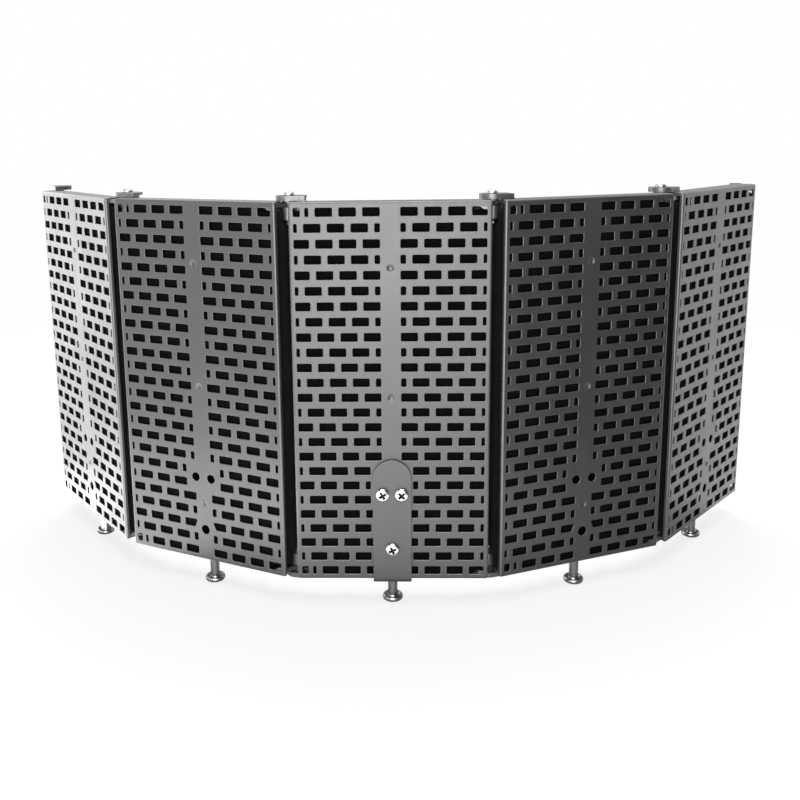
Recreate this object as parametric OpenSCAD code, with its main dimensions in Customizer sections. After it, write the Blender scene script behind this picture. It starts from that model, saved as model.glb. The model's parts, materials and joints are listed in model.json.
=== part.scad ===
// Folding desk shield for a microphone: five perforated sheet-metal panels with
// absorber pads, joined edge to edge by pivoting corner hinges, standing on
// screw-in levelling feet. The origin is on the desk under the centre foot,
// +X runs to the right along the centre panel, +Y points to the hollow side
// where the microphone stands, and +Z is up.
// Name endings: _w width, _h height, _t thickness, _d depth, _r radius, and
// _x, _y, _z a place. In a panel's own frame x runs along it from its centreline,
// y goes back from the face of its front sheet, and z is up from the desk.

/* [Panel] */
// Width of one panel across its front sheet
panel_w = 153; // [152.6:0.2:154]
// Height of one panel
panel_h = 303; // [302:1:306]
// Thickness of the sheet
sheet_t = 1.2; // [1:0.1:1.4]
// Depth of the top and bottom flanges
flange_d = 17.5; // [17:0.5:18]
// Depth of the narrow returns along the upright edges
return_d = 3.4; // [3:0.1:4]

/* [Perforation] */
// Width of one slot
slot_w = 12.8; // [11:0.1:13]
// Height of one slot
slot_h = 6.6; // [6:0.1:7]
// Spacing of the slots along a row
slot_pitch = 17.83; // [17.6:0.01:18]
// Spacing of the rows
row_pitch = 12; // [11.6:0.1:12]
// Distance from the centreline to the first slot of an even row
slot_first = 14.19; // [14:0.01:14.5]
// Half width of the plain strip along the centreline
strip_half = 7.8; // [7:0.1:8.2]
// Furthest reach of any slot from the centreline
slot_limit = 72.65; // [72:0.05:73]

/* [Mounting holes] */
// Distance between the two upper holes
hole_pair = 15; // [14:0.5:16]
// Height of the upper holes above the panel's lower edge
hole_pair_z = 73; // [72:0.5:74]
// Height of the single hole above the panel's lower edge
hole_single_z = 27; // [26.5:0.5:27.5]
// Radius of the two upper holes
hole_pair_r = 3.75; // [3.5:0.05:3.8]
// Radius of the single hole
hole_single_r = 4; // [3.8:0.05:4.1]

/* [Hinges] */
// Distance of a pivot outside the panel's edge
pivot_out = 1.35; // [1.3:0.05:1.5]
// Distance of a pivot behind the front sheet
pivot_y = 19.5; // [19.2:0.1:20]
// Radius of the pivot screw
pin_r = 2.45; // [2.4:0.01:2.45]
// Radius of every bore on a pivot
pin_bore_r = 2.5; // [2.5:0.01:2.6]
// Radius of the round end of an outer hinge plate
plate_r = 9.8; // [9:0.1:10]
// Thickness of an outer hinge plate
plate_t = 3.8; // [3.4:0.1:5]

/* [Fold at rest] */
// Fold between the far left and left panels, degrees
fold_left_outer = 26.35; // [0:0.05:60]
// Fold between the left and centre panels, degrees
fold_left_inner = 23.47; // [0:0.01:60]
// Fold between the centre and right panels, degrees
fold_right_inner = 21.79; // [0:0.01:60]
// Fold between the right and far right panels, degrees
fold_right_outer = 25.97; // [0:0.01:60]

/* [Absorber] */
// Depth of the pad's back behind the front sheet
pad_back = 37; // [30:1:38]
// Gap between the pad and the sheet metal
pad_gap = 0.5; // [0.4:0.1:1]

/* [Feet] */
// Height of the panels' lower edges above the desk
stand_h = 22.5; // [22:0.5:26]
// Distance of the feet behind the front sheet
foot_y = 11; // [10:0.5:11]
// Radius of a foot's plain stem, up to its shoulder under the flange
stem_r = 3.9; // [3.5:0.1:3.9]
// Radius of the foot's thread above the shoulder
thread_r = 3; // [2.8:0.1:3]
// Radius of a foot's base
base_r = 8.3; // [8:0.1:9]

/* [Front bracket] */
// Width of the bracket on the centre panel
bracket_w = 30.5; // [30:0.5:32]
// Thickness of the bracket
bracket_t = 2.5; // [2:0.1:3]
// Height of the bracket's round top above the panel's lower edge
bracket_top = 101.2; // [100:0.1:104]
// Length of the leg turned under the panel
bracket_leg = 22; // [18:1:24]

/* [Hidden] */
$fn = 64;
eps = 0.01;                            // overlap of joined pieces
cut = 1;                               // overshoot of cutting tools

half_w = panel_w / 2;
half_h = panel_h / 2;
z_mid = stand_h + half_h;              // middle of every panel
z_top = stand_h + panel_h;
flange_z = half_h - sheet_t;           // inner face of a flange, from z_mid
pivot_x = half_w + pivot_out;
nut_r = 5 / cos(30);                   // corner radius of every nut

// hinge brackets inside the flanges
tab_x = 64.5;                          // end of a tab nearest the centreline
tab_w = 10.6;
barrel_tab_t = 1.6;
eye_r = 5.5;
eye_h = 3.2;

// hinge fasteners: screws on the left, rivets on the right
fastener_x = 69.5;
screw_y = 11;
rivet_y = 9;
shank_r = 1.95;
screw_hole_r = 2.1;
rivet_hole_r = 2;

// ---- placing ----
far_left = 0;
left = 1;
centre = 2;
right = 3;
far_right = 4;

// each panel hangs on its neighbour nearer the centre
module at_panel(panel) {
    if (panel == centre) translate([0, -foot_y, 0]) children();
    else if (panel == right) at_panel(centre) hinged(1, fold_right_inner) children();
    else if (panel == far_right) at_panel(right) hinged(1, fold_right_outer) children();
    else if (panel == left) at_panel(centre) hinged(-1, fold_left_inner) children();
    else at_panel(left) hinged(-1, fold_left_outer) children();
}

// frame of the next panel; side is 1 to the right, -1 to the left
module hinged(side, fold)
    at_pivot(side, 0) rotate([0, 0, side * fold])
        translate([side * pivot_x, -pivot_y, 0]) children();

// a part and its mirror image at the other end of the panel's height
module both_ends() {
    translate([0, 0, z_mid]) children();
    translate([0, 0, z_mid]) mirror([0, 0, 1]) children();
}

module at_pivot(side, z) translate([side * pivot_x, pivot_y, z]) children();
module at_screw(z) translate([-fastener_x, screw_y, z]) children();
module at_rivet(z) translate([fastener_x, rivet_y, z]) children();
module at_foot(z) translate([0, foot_y, z]) children();

module at_hole_pair()
    for (side = [-1, 1])
        translate([side * hole_pair / 2, 0, hole_pair_z + stand_h]) children();

module at_single_hole() translate([0, 0, hole_single_z + stand_h]) children();

module at_mounting_holes() {
    at_hole_pair() children();
    at_single_hole() children();
}

// cylinder lying along y
module rod(from, to, r) translate([0, from, 0]) rotate([-90, 0, 0]) cylinder(r = r, h = to - from);

module mounting_holes(from, to, grow) {
    at_hole_pair() rod(from, to, hole_pair_r + grow);
    at_single_hole() rod(from, to, hole_single_r + grow);
}

// ---- perforation, with the middle of the panel at 0; row 0 is the top row ----
rows = 25;
hole_rows = [18, 19];                  // rows beside the two upper holes
hole_strip_half = 16.7;                // half width of the plain strip there
slant_row = 22;                        // row above the single hole
slant = 2.6;                           // run of the slanted slot ends in it
min_slot = 2;                          // narrower slots are left out
stub_inner = 2.6;                      // the two short slots that replace a
stub_outer = 5;                        // split slot
split_index = 3;

function row_z(row) = ((rows - 1) / 2 - row) * row_pitch;
function inner_limit(row) =
    (row == hole_rows[0] || row == hole_rows[1]) ? hole_strip_half : strip_half;
// the outermost slot on the left of the top and bottom rows is split
function is_split(row, side, k) =
    (row == 0 || row == rows - 1) && side < 0 && k == split_index;

// [low, high] distances from the centreline of a row's slots on one side
function slot_spans(row, side) = [
    for (k = [-1:4])
        let (middle = slot_first + (row % 2) * slot_pitch / 2 + k * slot_pitch,
             low = max(middle - slot_w / 2, inner_limit(row)),
             high = min(middle + slot_w / 2, slot_limit))
        if (high - low > min_slot)
            each is_split(row, side, k)
                ? [[low, low + stub_inner], [high - stub_outer, high]]
                : [[low, high]]
];

// outline of one slot; run slants its end nearest the centreline
function slot_points(span, z, side, run) = [
    [side * span[0], z + slot_h / 2],
    [side * span[1], z + slot_h / 2],
    [side * span[1], z - slot_h / 2],
    [side * (span[0] + run), z - slot_h / 2]
];

slots = [
    for (row = [0:rows - 1]) for (side = [-1, 1]) for (span = slot_spans(row, side))
        slot_points(span, row_z(row), side,
            (row == slant_row && span[0] < slot_first) ? slant : 0)
];
outline = [[-half_w, -half_h], [half_w, -half_h], [half_w, half_h], [-half_w, half_h]];
sheet_points = concat(outline, [for (slot = slots) each slot]);
sheet_paths = [for (n = [0:len(slots)]) [for (corner = [0:3]) n * 4 + corner]];

// ---- panel ----
dimple_z = [101.4, 0, -100.8];         // from the middle of the panel
dimple_r = 6;
dimple_d = 0.7;

module shell() color("dimgray") difference() {
    pivot_clear_r = 7;
    union() {
        translate([0, sheet_t, z_mid]) rotate([90, 0, 0])
            linear_extrude(sheet_t) polygon(points = sheet_points, paths = sheet_paths);
        // top and bottom flanges
        for (z = [stand_h, z_top - sheet_t])
            translate([-half_w, sheet_t - eps, z])
                cube([panel_w, flange_d - sheet_t + eps, sheet_t]);
        // upright returns
        for (x = [-half_w, half_w - sheet_t])
            translate([x, sheet_t - eps, stand_h])
                cube([sheet_t, return_d - sheet_t + eps, panel_h]);
    }
    mounting_holes(-cut, sheet_t + cut, 0);
    // shallow round dimples down the plain strip
    for (z = dimple_z) translate([0, dimple_d - dimple_r, z_mid + z]) sphere(r = dimple_r);
    // clearance around the pivots and holes for the hinge fasteners and the foot
    for (side = [-1, 1])
        at_pivot(side, stand_h - cut) cylinder(r = pivot_clear_r, h = panel_h + 2 * cut);
    for (z = [stand_h - cut, z_top - sheet_t - cut]) {
        at_screw(z) cylinder(r = screw_hole_r, h = sheet_t + 2 * cut);
        at_rivet(z) cylinder(r = rivet_hole_r, h = sheet_t + 2 * cut);
    }
    at_foot(stand_h - cut) cylinder(r = thread_r + 0.3, h = sheet_t + 2 * cut);
}

// absorber pad: a block whose sides run out to the pivots' axes, where it almost
// touches its neighbour, and slope away before and behind them so that the pads stay
// clear of each other at every fold; cut away round the hinges, foot and screws
module pad() color("black") difference() {
    front_x = half_w - sheet_t - pad_gap;   // between the returns
    shoulder_x = half_w - 0.2;              // behind the returns
    shoulder_y = return_d + 0.4;
    widest_x = pivot_x - 0.12;
    back_slope = 0.78;                      // x per y behind the pivots
    back_x = pivot_x - (pad_back - pivot_y) * back_slope;
    right_side = [
        [front_x, sheet_t + pad_gap], [front_x, shoulder_y], [shoulder_x, shoulder_y],
        [widest_x, pivot_y], [back_x, pad_back]
    ];
    left_side = [for (i = [len(right_side) - 1:-1:0]) [-right_side[i][0], right_side[i][1]]];
    // corner recesses
    recess_x = 62.5;
    recess_end_x = 80;
    recess_back = 23;
    recess_h = 9;
    recess_z = half_h - 7.8;
    deep_z = half_h - 18.5;
    deep_h = 20;
    pivot_clear_r = 7.4;
    arm_w = 11.5;
    arm_y = 13.5;

    translate([0, 0, stand_h + sheet_t + pad_gap])
        linear_extrude(panel_h - 2 * (sheet_t + pad_gap))
            polygon(concat(right_side, left_side));
    both_ends() {
        for (side = [-1, 1]) {
            translate([side > 0 ? recess_x : -recess_end_x, 0, recess_z])
                cube([recess_end_x - recess_x, recess_back, recess_h]);
            at_pivot(side, deep_z) cylinder(r = pivot_clear_r, h = deep_h);
        }
        // room for the arm of the long barrel
        translate([-recess_end_x, arm_y, deep_z]) cube([arm_w, recess_back - arm_y, deep_h]);
    }
    mounting_holes(0, 14, 4);
    at_foot(stand_h) cylinder(r = 9, h = 24);
}

// ---- hinges ----
plate_lift = 0.3;                      // gap between an outer plate and the flange

// outer hinge plate, on the left end of the flange: round about the pivot
module hinge_plate() color("gray") both_ends() translate([0, 0, half_h]) difference() {
    end_x = -64;
    front_y = 9.2;
    back_y = 17.3;
    upper_front_y = 16;
    upper_back_y = 22.5;
    tangent = 58.4;                    // degrees round the end where the upper back edge starts
    foot_w = 6;
    foot_t = 0.4;
    screw_depth = 3.2;
    union() {
        translate([0, 0, plate_lift]) linear_extrude(plate_t) {
            translate([-pivot_x, pivot_y]) circle(r = plate_r);
            polygon([[end_x, front_y], [-pivot_x, pivot_y - plate_r],
                     [-pivot_x, back_y], [end_x, back_y]]);
        }
        // outer half of the thickness, wider towards the back
        translate([0, 0, plate_lift + plate_t / 2]) linear_extrude(plate_t / 2)
            polygon([[end_x, upper_front_y], [-pivot_x, pivot_y - 4], [-pivot_x, pivot_y],
                     [-pivot_x + plate_r * cos(tangent), pivot_y + plate_r * sin(tangent)],
                     [end_x, upper_back_y]]);
        // pad that rests on the flange
        translate([end_x - foot_w, front_y, 0]) cube([foot_w, back_y - front_y, foot_t]);
    }
    at_pivot(-1, -cut) cylinder(r = pin_bore_r, h = plate_t + 3);
    at_screw(-cut) cylinder(r = 2, h = cut + screw_depth);
}

// inner bracket on the left: a tab under the flange and a long barrel on the pivot
module hinge_barrel() color("gray") both_ends() difference() {
    barrel_r = 6;
    barrel_h = 9.7;
    barrel_z = half_h - 14.5;          // end away from the flange
    tab_d = 15.3;
    arm_x = 69.5;                      // end of the arm nearest the centreline
    arm_inset = 2;                     // from the pivot to the arm's other end
    arm_d = 6.5;
    upright_w = 2.4;
    upright_d = 7.3;
    back_y = 22;
    union() {
        translate([-tab_x - tab_w, sheet_t, flange_z - barrel_tab_t])
            cube([tab_w, tab_d, barrel_tab_t]);
        translate([-arm_x - upright_w, back_y - upright_d, barrel_z])
            cube([upright_w, upright_d, flange_z - barrel_z]);
        translate([-pivot_x + arm_inset, back_y - arm_d, barrel_z])
            cube([pivot_x - arm_inset - arm_x, arm_d, barrel_h]);
        at_pivot(-1, barrel_z) cylinder(r = barrel_r, h = barrel_h);
    }
    at_pivot(-1, barrel_z - cut) cylinder(r = pin_bore_r, h = barrel_h + 2 * cut);
    // room for the neighbour's eye above the barrel
    at_pivot(-1, barrel_z + barrel_h) cylinder(r = eye_r + 0.35, h = 6);
    at_screw(flange_z - 3) cylinder(r = screw_hole_r, h = 4);
}

// inner bracket on the right: a tab under the flange and a short eye on the pivot
module hinge_eye() color("gray") both_ends() difference() {
    eye_z = flange_z - eye_h;
    tab_d = 14.3;
    arm_w = 9.2;
    arm_start = [70, 9];
    arm_run = [pivot_x, pivot_y] - arm_start;
    boss_h = 1.3;                      // rise of the eye beyond its arm
    front_tab_t = 1.4;
    front_tab = [                      // x, z; one corner cut off
        [67.4, eye_z + eps], [67.4, flange_z - 3.4], [69.8, flange_z - 5.2],
        [75.1, flange_z - 5.2], [75.1, eye_z + eps]
    ];
    union() {
        translate([tab_x, sheet_t, eye_z]) cube([tab_w, tab_d, eye_h]);
        translate([arm_start[0], arm_start[1], eye_z])
            rotate([0, 0, atan2(arm_run[1], arm_run[0])])
                translate([0, -arm_w / 2, 0]) cube([norm(arm_run), arm_w, eye_h]);
        at_pivot(1, eye_z) cylinder(r = eye_r, h = eye_h + boss_h);
        // against the back of the sheet
        translate([0, sheet_t + front_tab_t, 0]) rotate([90, 0, 0])
            linear_extrude(front_tab_t) polygon(front_tab);
    }
    at_pivot(1, eye_z - cut) cylinder(r = pin_bore_r, h = eye_h + 4);
    at_rivet(eye_z - 3) cylinder(r = rivet_hole_r, h = eye_h + 4);
}

// hinge fasteners: a cap screw from inside into each plate, a rivet in each eye
module hinge_fasteners() color("silver") both_ends() {
    seat_z = flange_z - barrel_tab_t;
    eye_z = flange_z - eye_h;
    overlap = 0.1;
    screw_reach = 3;                   // beyond the flange
    cap_h = 4.2;
    rivet_head_h = 1.3;
    difference() {
        union() {
            at_screw(seat_z - overlap)
                cylinder(r = shank_r, h = sheet_t + barrel_tab_t + overlap + screw_reach);
            at_screw(seat_z - cap_h) cylinder(r = 3.4, h = cap_h);
        }
        // hexagon socket
        at_screw(seat_z - cap_h - overlap) cylinder(r = 1.75, h = 2.4, $fn = 6);
    }
    at_rivet(eye_z - overlap) cylinder(r = shank_r, h = eye_h + sheet_t + overlap);
    at_rivet(eye_z - rivet_head_h) cylinder(r = 3.3, h = rivet_head_h);
}

// pivot screw: pan head on the plate, shank down through the eye and the barrel
module pivot_screws() color("silver") both_ends() at_pivot(-1, 0) difference() {
    head_z = half_h + plate_lift + plate_t;
    tip_z = half_h - 17.6;
    cross_w = 4.6;                     // cross recess
    cross_t = 0.9;
    head = [                           // radius, height
        [0, 0], [4.4, 0], [4.4, 1.2], [4.05, 1.9], [3.2, 2.4], [2, 2.6], [0, 2.6]
    ];
    union() {
        translate([0, 0, tip_z]) cylinder(r = pin_r, h = head_z - tip_z + 0.1);
        translate([0, 0, head_z]) rotate_extrude() polygon(head);
    }
    for (angle = [0, 90]) rotate([0, 0, angle])
        translate([-cross_w / 2, -cross_t / 2, head_z + 1]) cube([cross_w, cross_t, 3]);
}

// ---- feet ----
stem_z = 2.2;                          // lower end of the stem, in its socket

// plain stem with its shoulder against the flange, then the thread
module foot_stem() color("silver") at_foot(0) {
    shoulder_gap = 0.05;
    thread_z = 4;
    thread_reach = 20;                 // above the panel's lower edge
    translate([0, 0, stem_z]) cylinder(r = stem_r, h = stand_h - shoulder_gap - stem_z);
    translate([0, 0, thread_z]) cylinder(r = thread_r, h = stand_h + thread_reach - thread_z);
}

module foot_base() color("dimgray") at_foot(0) difference() {
    profile = [                        // radius, height: up the rim, then in to the collar
        [0, 0], [base_r - 1.6, 0], [base_r - 0.7, 0.4], [base_r - 0.1, 1.2],
        [base_r, 2.1], [base_r - 0.2, 3], [base_r - 0.8, 3.8], [base_r - 1.5, 4.1],
        [base_r - 2.1, 3.8], [base_r - 2.5, 2.9],
        [stem_r + 1.1, 2.6], [stem_r + 0.5, 3.4], [stem_r + 0.25, 4.6], [0, 4.6]
    ];
    rotate_extrude() polygon(profile);
    translate([0, 0, stem_z]) cylinder(r = stem_r + 0.02, h = 4);
}

module foot_nut() color("silver") at_foot(stand_h + sheet_t) difference() {
    cylinder(r = nut_r, h = 5, $fn = 6);
    translate([0, 0, -cut]) cylinder(r = thread_r + 0.05, h = 8);
}

// ---- front bracket and its fasteners ----
washer_t = 1.2;
bracket_nut_t = 4.2;

// angle bracket on the centre panel: round-topped plate with a leg turned under
module front_bracket() color("gray") difference() {
    top_r = bracket_w / 2;
    top_z = stand_h + bracket_top - top_r;   // centre of the round top
    leg_top = stand_h - 0.2;
    leg_z = leg_top - bracket_t;
    front_y = -bracket_t;
    bend_r = 4;
    bend_end = 3;                      // where the bend meets the plate and the leg
    plate_z = stand_h + bend_end;
    arc = [for (angle = [180:15:270])
        [front_y + bend_r + bend_r * cos(angle), leg_z + bend_r + bend_r * sin(angle)]];
    union() {
        translate([0, 0, top_z]) rotate([90, 0, 0]) cylinder(r = top_r, h = bracket_t);
        translate([-top_r, front_y, plate_z]) cube([bracket_w, bracket_t, top_z - plate_z]);
        translate([-top_r, bend_end, leg_z])
            cube([bracket_w, bracket_leg - bend_end, bracket_t]);
        // the bend, from the plate round to the leg
        translate([-top_r, 0, 0]) rotate([90, 0, 90]) linear_extrude(bracket_w)
            polygon(concat(arc, [
                [bend_end + eps, leg_z], [bend_end + eps, leg_top], [0, leg_top],
                [0, plate_z + eps], [front_y, plate_z + eps]
            ]));
    }
    at_mounting_holes() rod(front_y - cut, cut, 3.2);
    at_foot(leg_z - cut) cylinder(r = stem_r + 0.5, h = bracket_t + 2 * cut);
}

module bracket_screws() color("white") at_mounting_holes() difference() {
    tip_y = 7.2;
    cross_w = 5.8;                     // cross recess
    cross_t = 1.1;
    cross_d = 3.4;
    cross_floor = 1.1;                 // in front of the bracket
    head = [                           // radius, height
        [0, 0], [5.55, 0], [5.55, 1.3], [5.2, 2.2], [4.3, 3], [3, 3.4], [0, 3.5]
    ];
    union() {
        rod(-bracket_t - 0.1, tip_y, 2.95);
        translate([0, -bracket_t, 0]) rotate([90, 0, 0]) rotate_extrude() polygon(head);
    }
    for (angle = [20, 110]) rotate([0, angle, 0])
        translate([-cross_w / 2, -bracket_t - cross_floor - cross_d, -cross_t / 2])
            cube([cross_w, cross_d, cross_t]);
}

module bracket_washers() color("silver") at_mounting_holes() difference() {
    rod(sheet_t, sheet_t + washer_t, 6.2);
    rod(sheet_t - cut, sheet_t + washer_t + cut, 3.15);
}

module bracket_nuts() color("silver") at_mounting_holes() difference() {
    nut_y = sheet_t + washer_t;
    rod(nut_y, nut_y + bracket_nut_t, nut_r, $fn = 6);
    rod(sheet_t, sheet_t + 7, 3);
}

at_panel(far_left) shell();  // shell_far_left
at_panel(left) shell();  // shell_left
at_panel(centre) shell();  // shell_centre
at_panel(right) shell();  // shell_right
at_panel(far_right) shell();  // shell_far_right
at_panel(far_left) pad();  // pad_far_left
at_panel(left) pad();  // pad_left
at_panel(centre) pad();  // pad_centre
at_panel(right) pad();  // pad_right
at_panel(far_right) pad();  // pad_far_right
at_panel(far_left) hinge_plate();  // hinge_plates_far_left
at_panel(left) hinge_plate();  // hinge_plates_left
at_panel(centre) hinge_plate();  // hinge_plates_centre
at_panel(right) hinge_plate();  // hinge_plates_right
at_panel(far_right) hinge_plate();  // hinge_plates_far_right
at_panel(far_left) hinge_barrel();  // hinge_barrels_far_left
at_panel(left) hinge_barrel();  // hinge_barrels_left
at_panel(centre) hinge_barrel();  // hinge_barrels_centre
at_panel(right) hinge_barrel();  // hinge_barrels_right
at_panel(far_right) hinge_barrel();  // hinge_barrels_far_right
at_panel(far_left) hinge_eye();  // hinge_eyes_far_left
at_panel(left) hinge_eye();  // hinge_eyes_left
at_panel(centre) hinge_eye();  // hinge_eyes_centre
at_panel(right) hinge_eye();  // hinge_eyes_right
at_panel(far_right) hinge_eye();  // hinge_eyes_far_right
at_panel(far_left) hinge_fasteners();  // hinge_fasteners_far_left
at_panel(left) hinge_fasteners();  // hinge_fasteners_left
at_panel(centre) hinge_fasteners();  // hinge_fasteners_centre
at_panel(right) hinge_fasteners();  // hinge_fasteners_right
at_panel(far_right) hinge_fasteners();  // hinge_fasteners_far_right
at_panel(left) pivot_screws();  // pivot_screws_left_outer
at_panel(centre) pivot_screws();  // pivot_screws_left_inner
at_panel(right) pivot_screws();  // pivot_screws_right_inner
at_panel(far_right) pivot_screws();  // pivot_screws_right_outer
at_panel(far_left) foot_stem();  // foot_stem_far_left
at_panel(left) foot_stem();  // foot_stem_left
at_panel(centre) foot_stem();  // foot_stem_centre
at_panel(right) foot_stem();  // foot_stem_right
at_panel(far_right) foot_stem();  // foot_stem_far_right
at_panel(far_left) foot_base();  // foot_base_far_left
at_panel(left) foot_base();  // foot_base_left
at_panel(centre) foot_base();  // foot_base_centre
at_panel(right) foot_base();  // foot_base_right
at_panel(far_right) foot_base();  // foot_base_far_right
at_panel(far_left) foot_nut();  // foot_nut_far_left
at_panel(left) foot_nut();  // foot_nut_left
at_panel(centre) foot_nut();  // foot_nut_centre
at_panel(right) foot_nut();  // foot_nut_right
at_panel(far_right) foot_nut();  // foot_nut_far_right
at_panel(centre) front_bracket();
at_panel(centre) bracket_screws();
at_panel(centre) bracket_washers();
at_panel(centre) bracket_nuts();
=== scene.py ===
"""Folding shield: a row of five perforated, foam-backed sheet panels on levelling feet.

Row frame: metres, x to the right, y backwards, z up from the desk; the centre panel faces -y.
Panel frame: millimetres, x along the panel, y back from its front sheet, z up from the desk.
The hinge parts are built with z measured from the panel's middle and then mirrored.
"""
import json
import math

import bmesh
import bpy
import numpy as np
from mathutils import Matrix, Vector, noise
from mathutils.geometry import delaunay_2d_cdt


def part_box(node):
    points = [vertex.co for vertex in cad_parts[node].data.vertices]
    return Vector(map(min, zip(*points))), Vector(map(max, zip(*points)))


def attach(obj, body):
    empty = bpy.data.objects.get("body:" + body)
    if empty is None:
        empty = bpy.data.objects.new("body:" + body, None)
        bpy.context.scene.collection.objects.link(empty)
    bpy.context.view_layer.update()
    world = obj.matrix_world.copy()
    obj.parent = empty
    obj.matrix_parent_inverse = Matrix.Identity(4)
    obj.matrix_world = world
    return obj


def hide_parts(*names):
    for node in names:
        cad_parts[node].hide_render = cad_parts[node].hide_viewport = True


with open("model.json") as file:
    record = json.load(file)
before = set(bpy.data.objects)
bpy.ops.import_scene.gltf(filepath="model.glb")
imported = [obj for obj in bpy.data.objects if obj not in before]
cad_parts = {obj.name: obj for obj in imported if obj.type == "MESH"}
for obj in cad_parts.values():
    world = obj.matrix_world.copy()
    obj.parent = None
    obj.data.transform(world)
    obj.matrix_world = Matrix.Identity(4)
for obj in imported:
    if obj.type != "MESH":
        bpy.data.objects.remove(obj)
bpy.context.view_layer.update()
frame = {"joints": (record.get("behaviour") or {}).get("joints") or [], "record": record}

MM = 0.001
TAU = 2 * math.pi

# ------------------------------------------------------------------ driving dimensions
_low, _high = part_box("shell_centre")
FACE_Y = _low.y                         # front sheet in the row frame, metres
HALF_WIDTH = (_high.x - _low.x) / 2 / MM
BOTTOM, TOP = _low.z / MM, _high.z / MM
MID_Z, HALF_HEIGHT = (BOTTOM + TOP) / 2, (TOP - BOTTOM) / 2
FLANGE_DEPTH = (_high.y - _low.y) / MM
FOOT_Y = -FACE_Y / MM                   # the foot's axis
STEM_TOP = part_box("foot_stem_centre")[1].z / MM
MOUNTS = {m["name"]: m for m in frame["record"]["mounts"]}
_fold = {j["name"]: j for j in frame["joints"]}["fold_right_inner"]["pos_m"]
PIVOT_X = _fold[0] / MM
PIVOT_Y = (_fold[1] - FACE_Y) / MM
SHEET = 1.2                             # sheet thickness
BEND = 1.7                              # outer radius of the shell's bends
FLANGE_INSIDE = HALF_HEIGHT - SHEET     # inner face of an end flange, from the middle

# The bracket's three screws: x, height above the panel's bottom, radius of the hole
# in the shell, radius of the hole in the pad, turn of the cross recess.
BRACKET_SCREWS = [
    (-7.5, 73, 3.75, 7.6, 0.55),
    (7.5, 73, 3.75, 7.6, 0.78),
    (0.0, 27, 4.0, 7.8, 0.42),
]
NAMES = ["far_left", "left", "centre", "right", "far_right"]


def panel_matrix(name):
    """Panel frame to row frame."""
    if name == "centre":
        origin, yaw = Vector((0, FACE_Y, 0)), 0.0
    else:
        mount = MOUNTS["bracket_holes_" + name]
        origin = Vector((mount["pos_m"][0], mount["pos_m"][1], 0))
        yaw = math.atan2(mount["axis"][0], -mount["axis"][1])
    return Matrix.Translation(origin) @ Matrix.Rotation(yaw, 4, "Z") @ Matrix.Scale(MM, 4)


PANEL = {name: panel_matrix(name) for name in NAMES}


# ------------------------------------------------------------------ 2-D shapes
def circle(cx, cy, radius, count):
    angles = [TAU * i / count for i in range(count)]
    return [(cx + radius * math.cos(a), cy + radius * math.sin(a)) for a in angles]


def rectangle(x0, x1, y0, y1):
    return [(x0, y0), (x1, y0), (x1, y1), (x0, y1)]


def hex_radius(flat_radius, angle):
    """Distance to a hexagon's rim in one direction."""
    return flat_radius / math.cos((angle + math.pi / 6) % (math.pi / 3) - math.pi / 6)


def with_neighbours(outline, i):
    """Point i, the one before it and the one after it."""
    return [Vector(outline[k % len(outline)]) for k in (i, i - 1, i + 1)]


def fillet(outline, radii, steps):
    """outline with rounded corners; radii is one radius or a list with one for each corner."""
    if not isinstance(radii, list):
        radii = [radii] * len(outline)
    rounded = []
    for i, radius in enumerate(radii):
        corner, before, after = with_neighbours(outline, i)
        to_before, to_after = before - corner, after - corner
        shortest = min(to_before.length, to_after.length)
        to_before.normalize()
        to_after.normalize()
        angle = math.acos(max(-1, min(1, to_before.dot(to_after))))
        reach = min(radius / math.tan(angle / 2), 0.49 * shortest) if radius > 0 else 0
        if reach < 1e-4:
            rounded.append((corner.x, corner.y))
            continue
        radius = reach * math.tan(angle / 2)
        bisector = (to_before + to_after).normalized()
        centre = corner + bisector * (radius / math.sin(angle / 2))
        start, end = corner + to_before * reach, corner + to_after * reach
        a0 = math.atan2(start.y - centre.y, start.x - centre.x)
        a1 = math.atan2(end.y - centre.y, end.x - centre.x)
        while a1 - a0 > math.pi:
            a1 -= TAU
        while a1 - a0 < -math.pi:
            a1 += TAU
        for k in range(steps + 1):
            a = a0 + (a1 - a0) * k / steps
            rounded.append((centre.x + radius * math.cos(a), centre.y + radius * math.sin(a)))
    return rounded


def double_area(outline):
    """Twice the signed area; positive when the outline runs anticlockwise."""
    return sum(outline[i - 1][0] * outline[i][1] - outline[i][0] * outline[i - 1][1]
               for i in range(len(outline)))


def offset(outline, distance):
    """outline moved outwards by distance, point by point."""
    if abs(distance) < 1e-9:
        return list(outline)
    sign = 1 if double_area(outline) > 0 else -1
    moved = []
    for i in range(len(outline)):
        point, before, after = with_neighbours(outline, i)
        edge0, edge1 = point - before, after - point
        if edge0.length < 1e-9 or edge1.length < 1e-9:
            edge0 = edge1 = after - before
        normal0 = Vector((edge0.y, -edge0.x)).normalized() * sign
        normal1 = Vector((edge1.y, -edge1.x)).normalized() * sign
        normal = normal0 + normal1
        mitre = max(0.35, normal.length / 2)
        normal.normalize()
        point = point + normal * (distance / mitre)
        moved.append((point.x, point.y))
    return moved


def round_profile(points, radius, steps):
    """An open (radius, height) line with its inner points rounded."""
    rounded = [points[0]]
    for i in range(1, len(points) - 1):
        corner, before, after = with_neighbours(points, i)
        to_before, to_after = before - corner, after - corner
        reach = min(radius, 0.45 * to_before.length, 0.45 * to_after.length)
        to_before.normalize()
        to_after.normalize()
        if abs(to_before.dot(to_after)) > 0.995:
            rounded.append((corner.x, corner.y))
            continue
        start, end = corner + to_before * reach, corner + to_after * reach
        for k in range(steps + 1):
            t = k / steps
            point = start * (1 - t) ** 2 + corner * 2 * t * (1 - t) + end * t ** 2
            rounded.append((point.x, point.y))
    rounded.append(points[-1])
    return rounded


# ------------------------------------------------------------------ placing points
def level(points, z):
    return [(x, y, z) for x, y in points]


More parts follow.
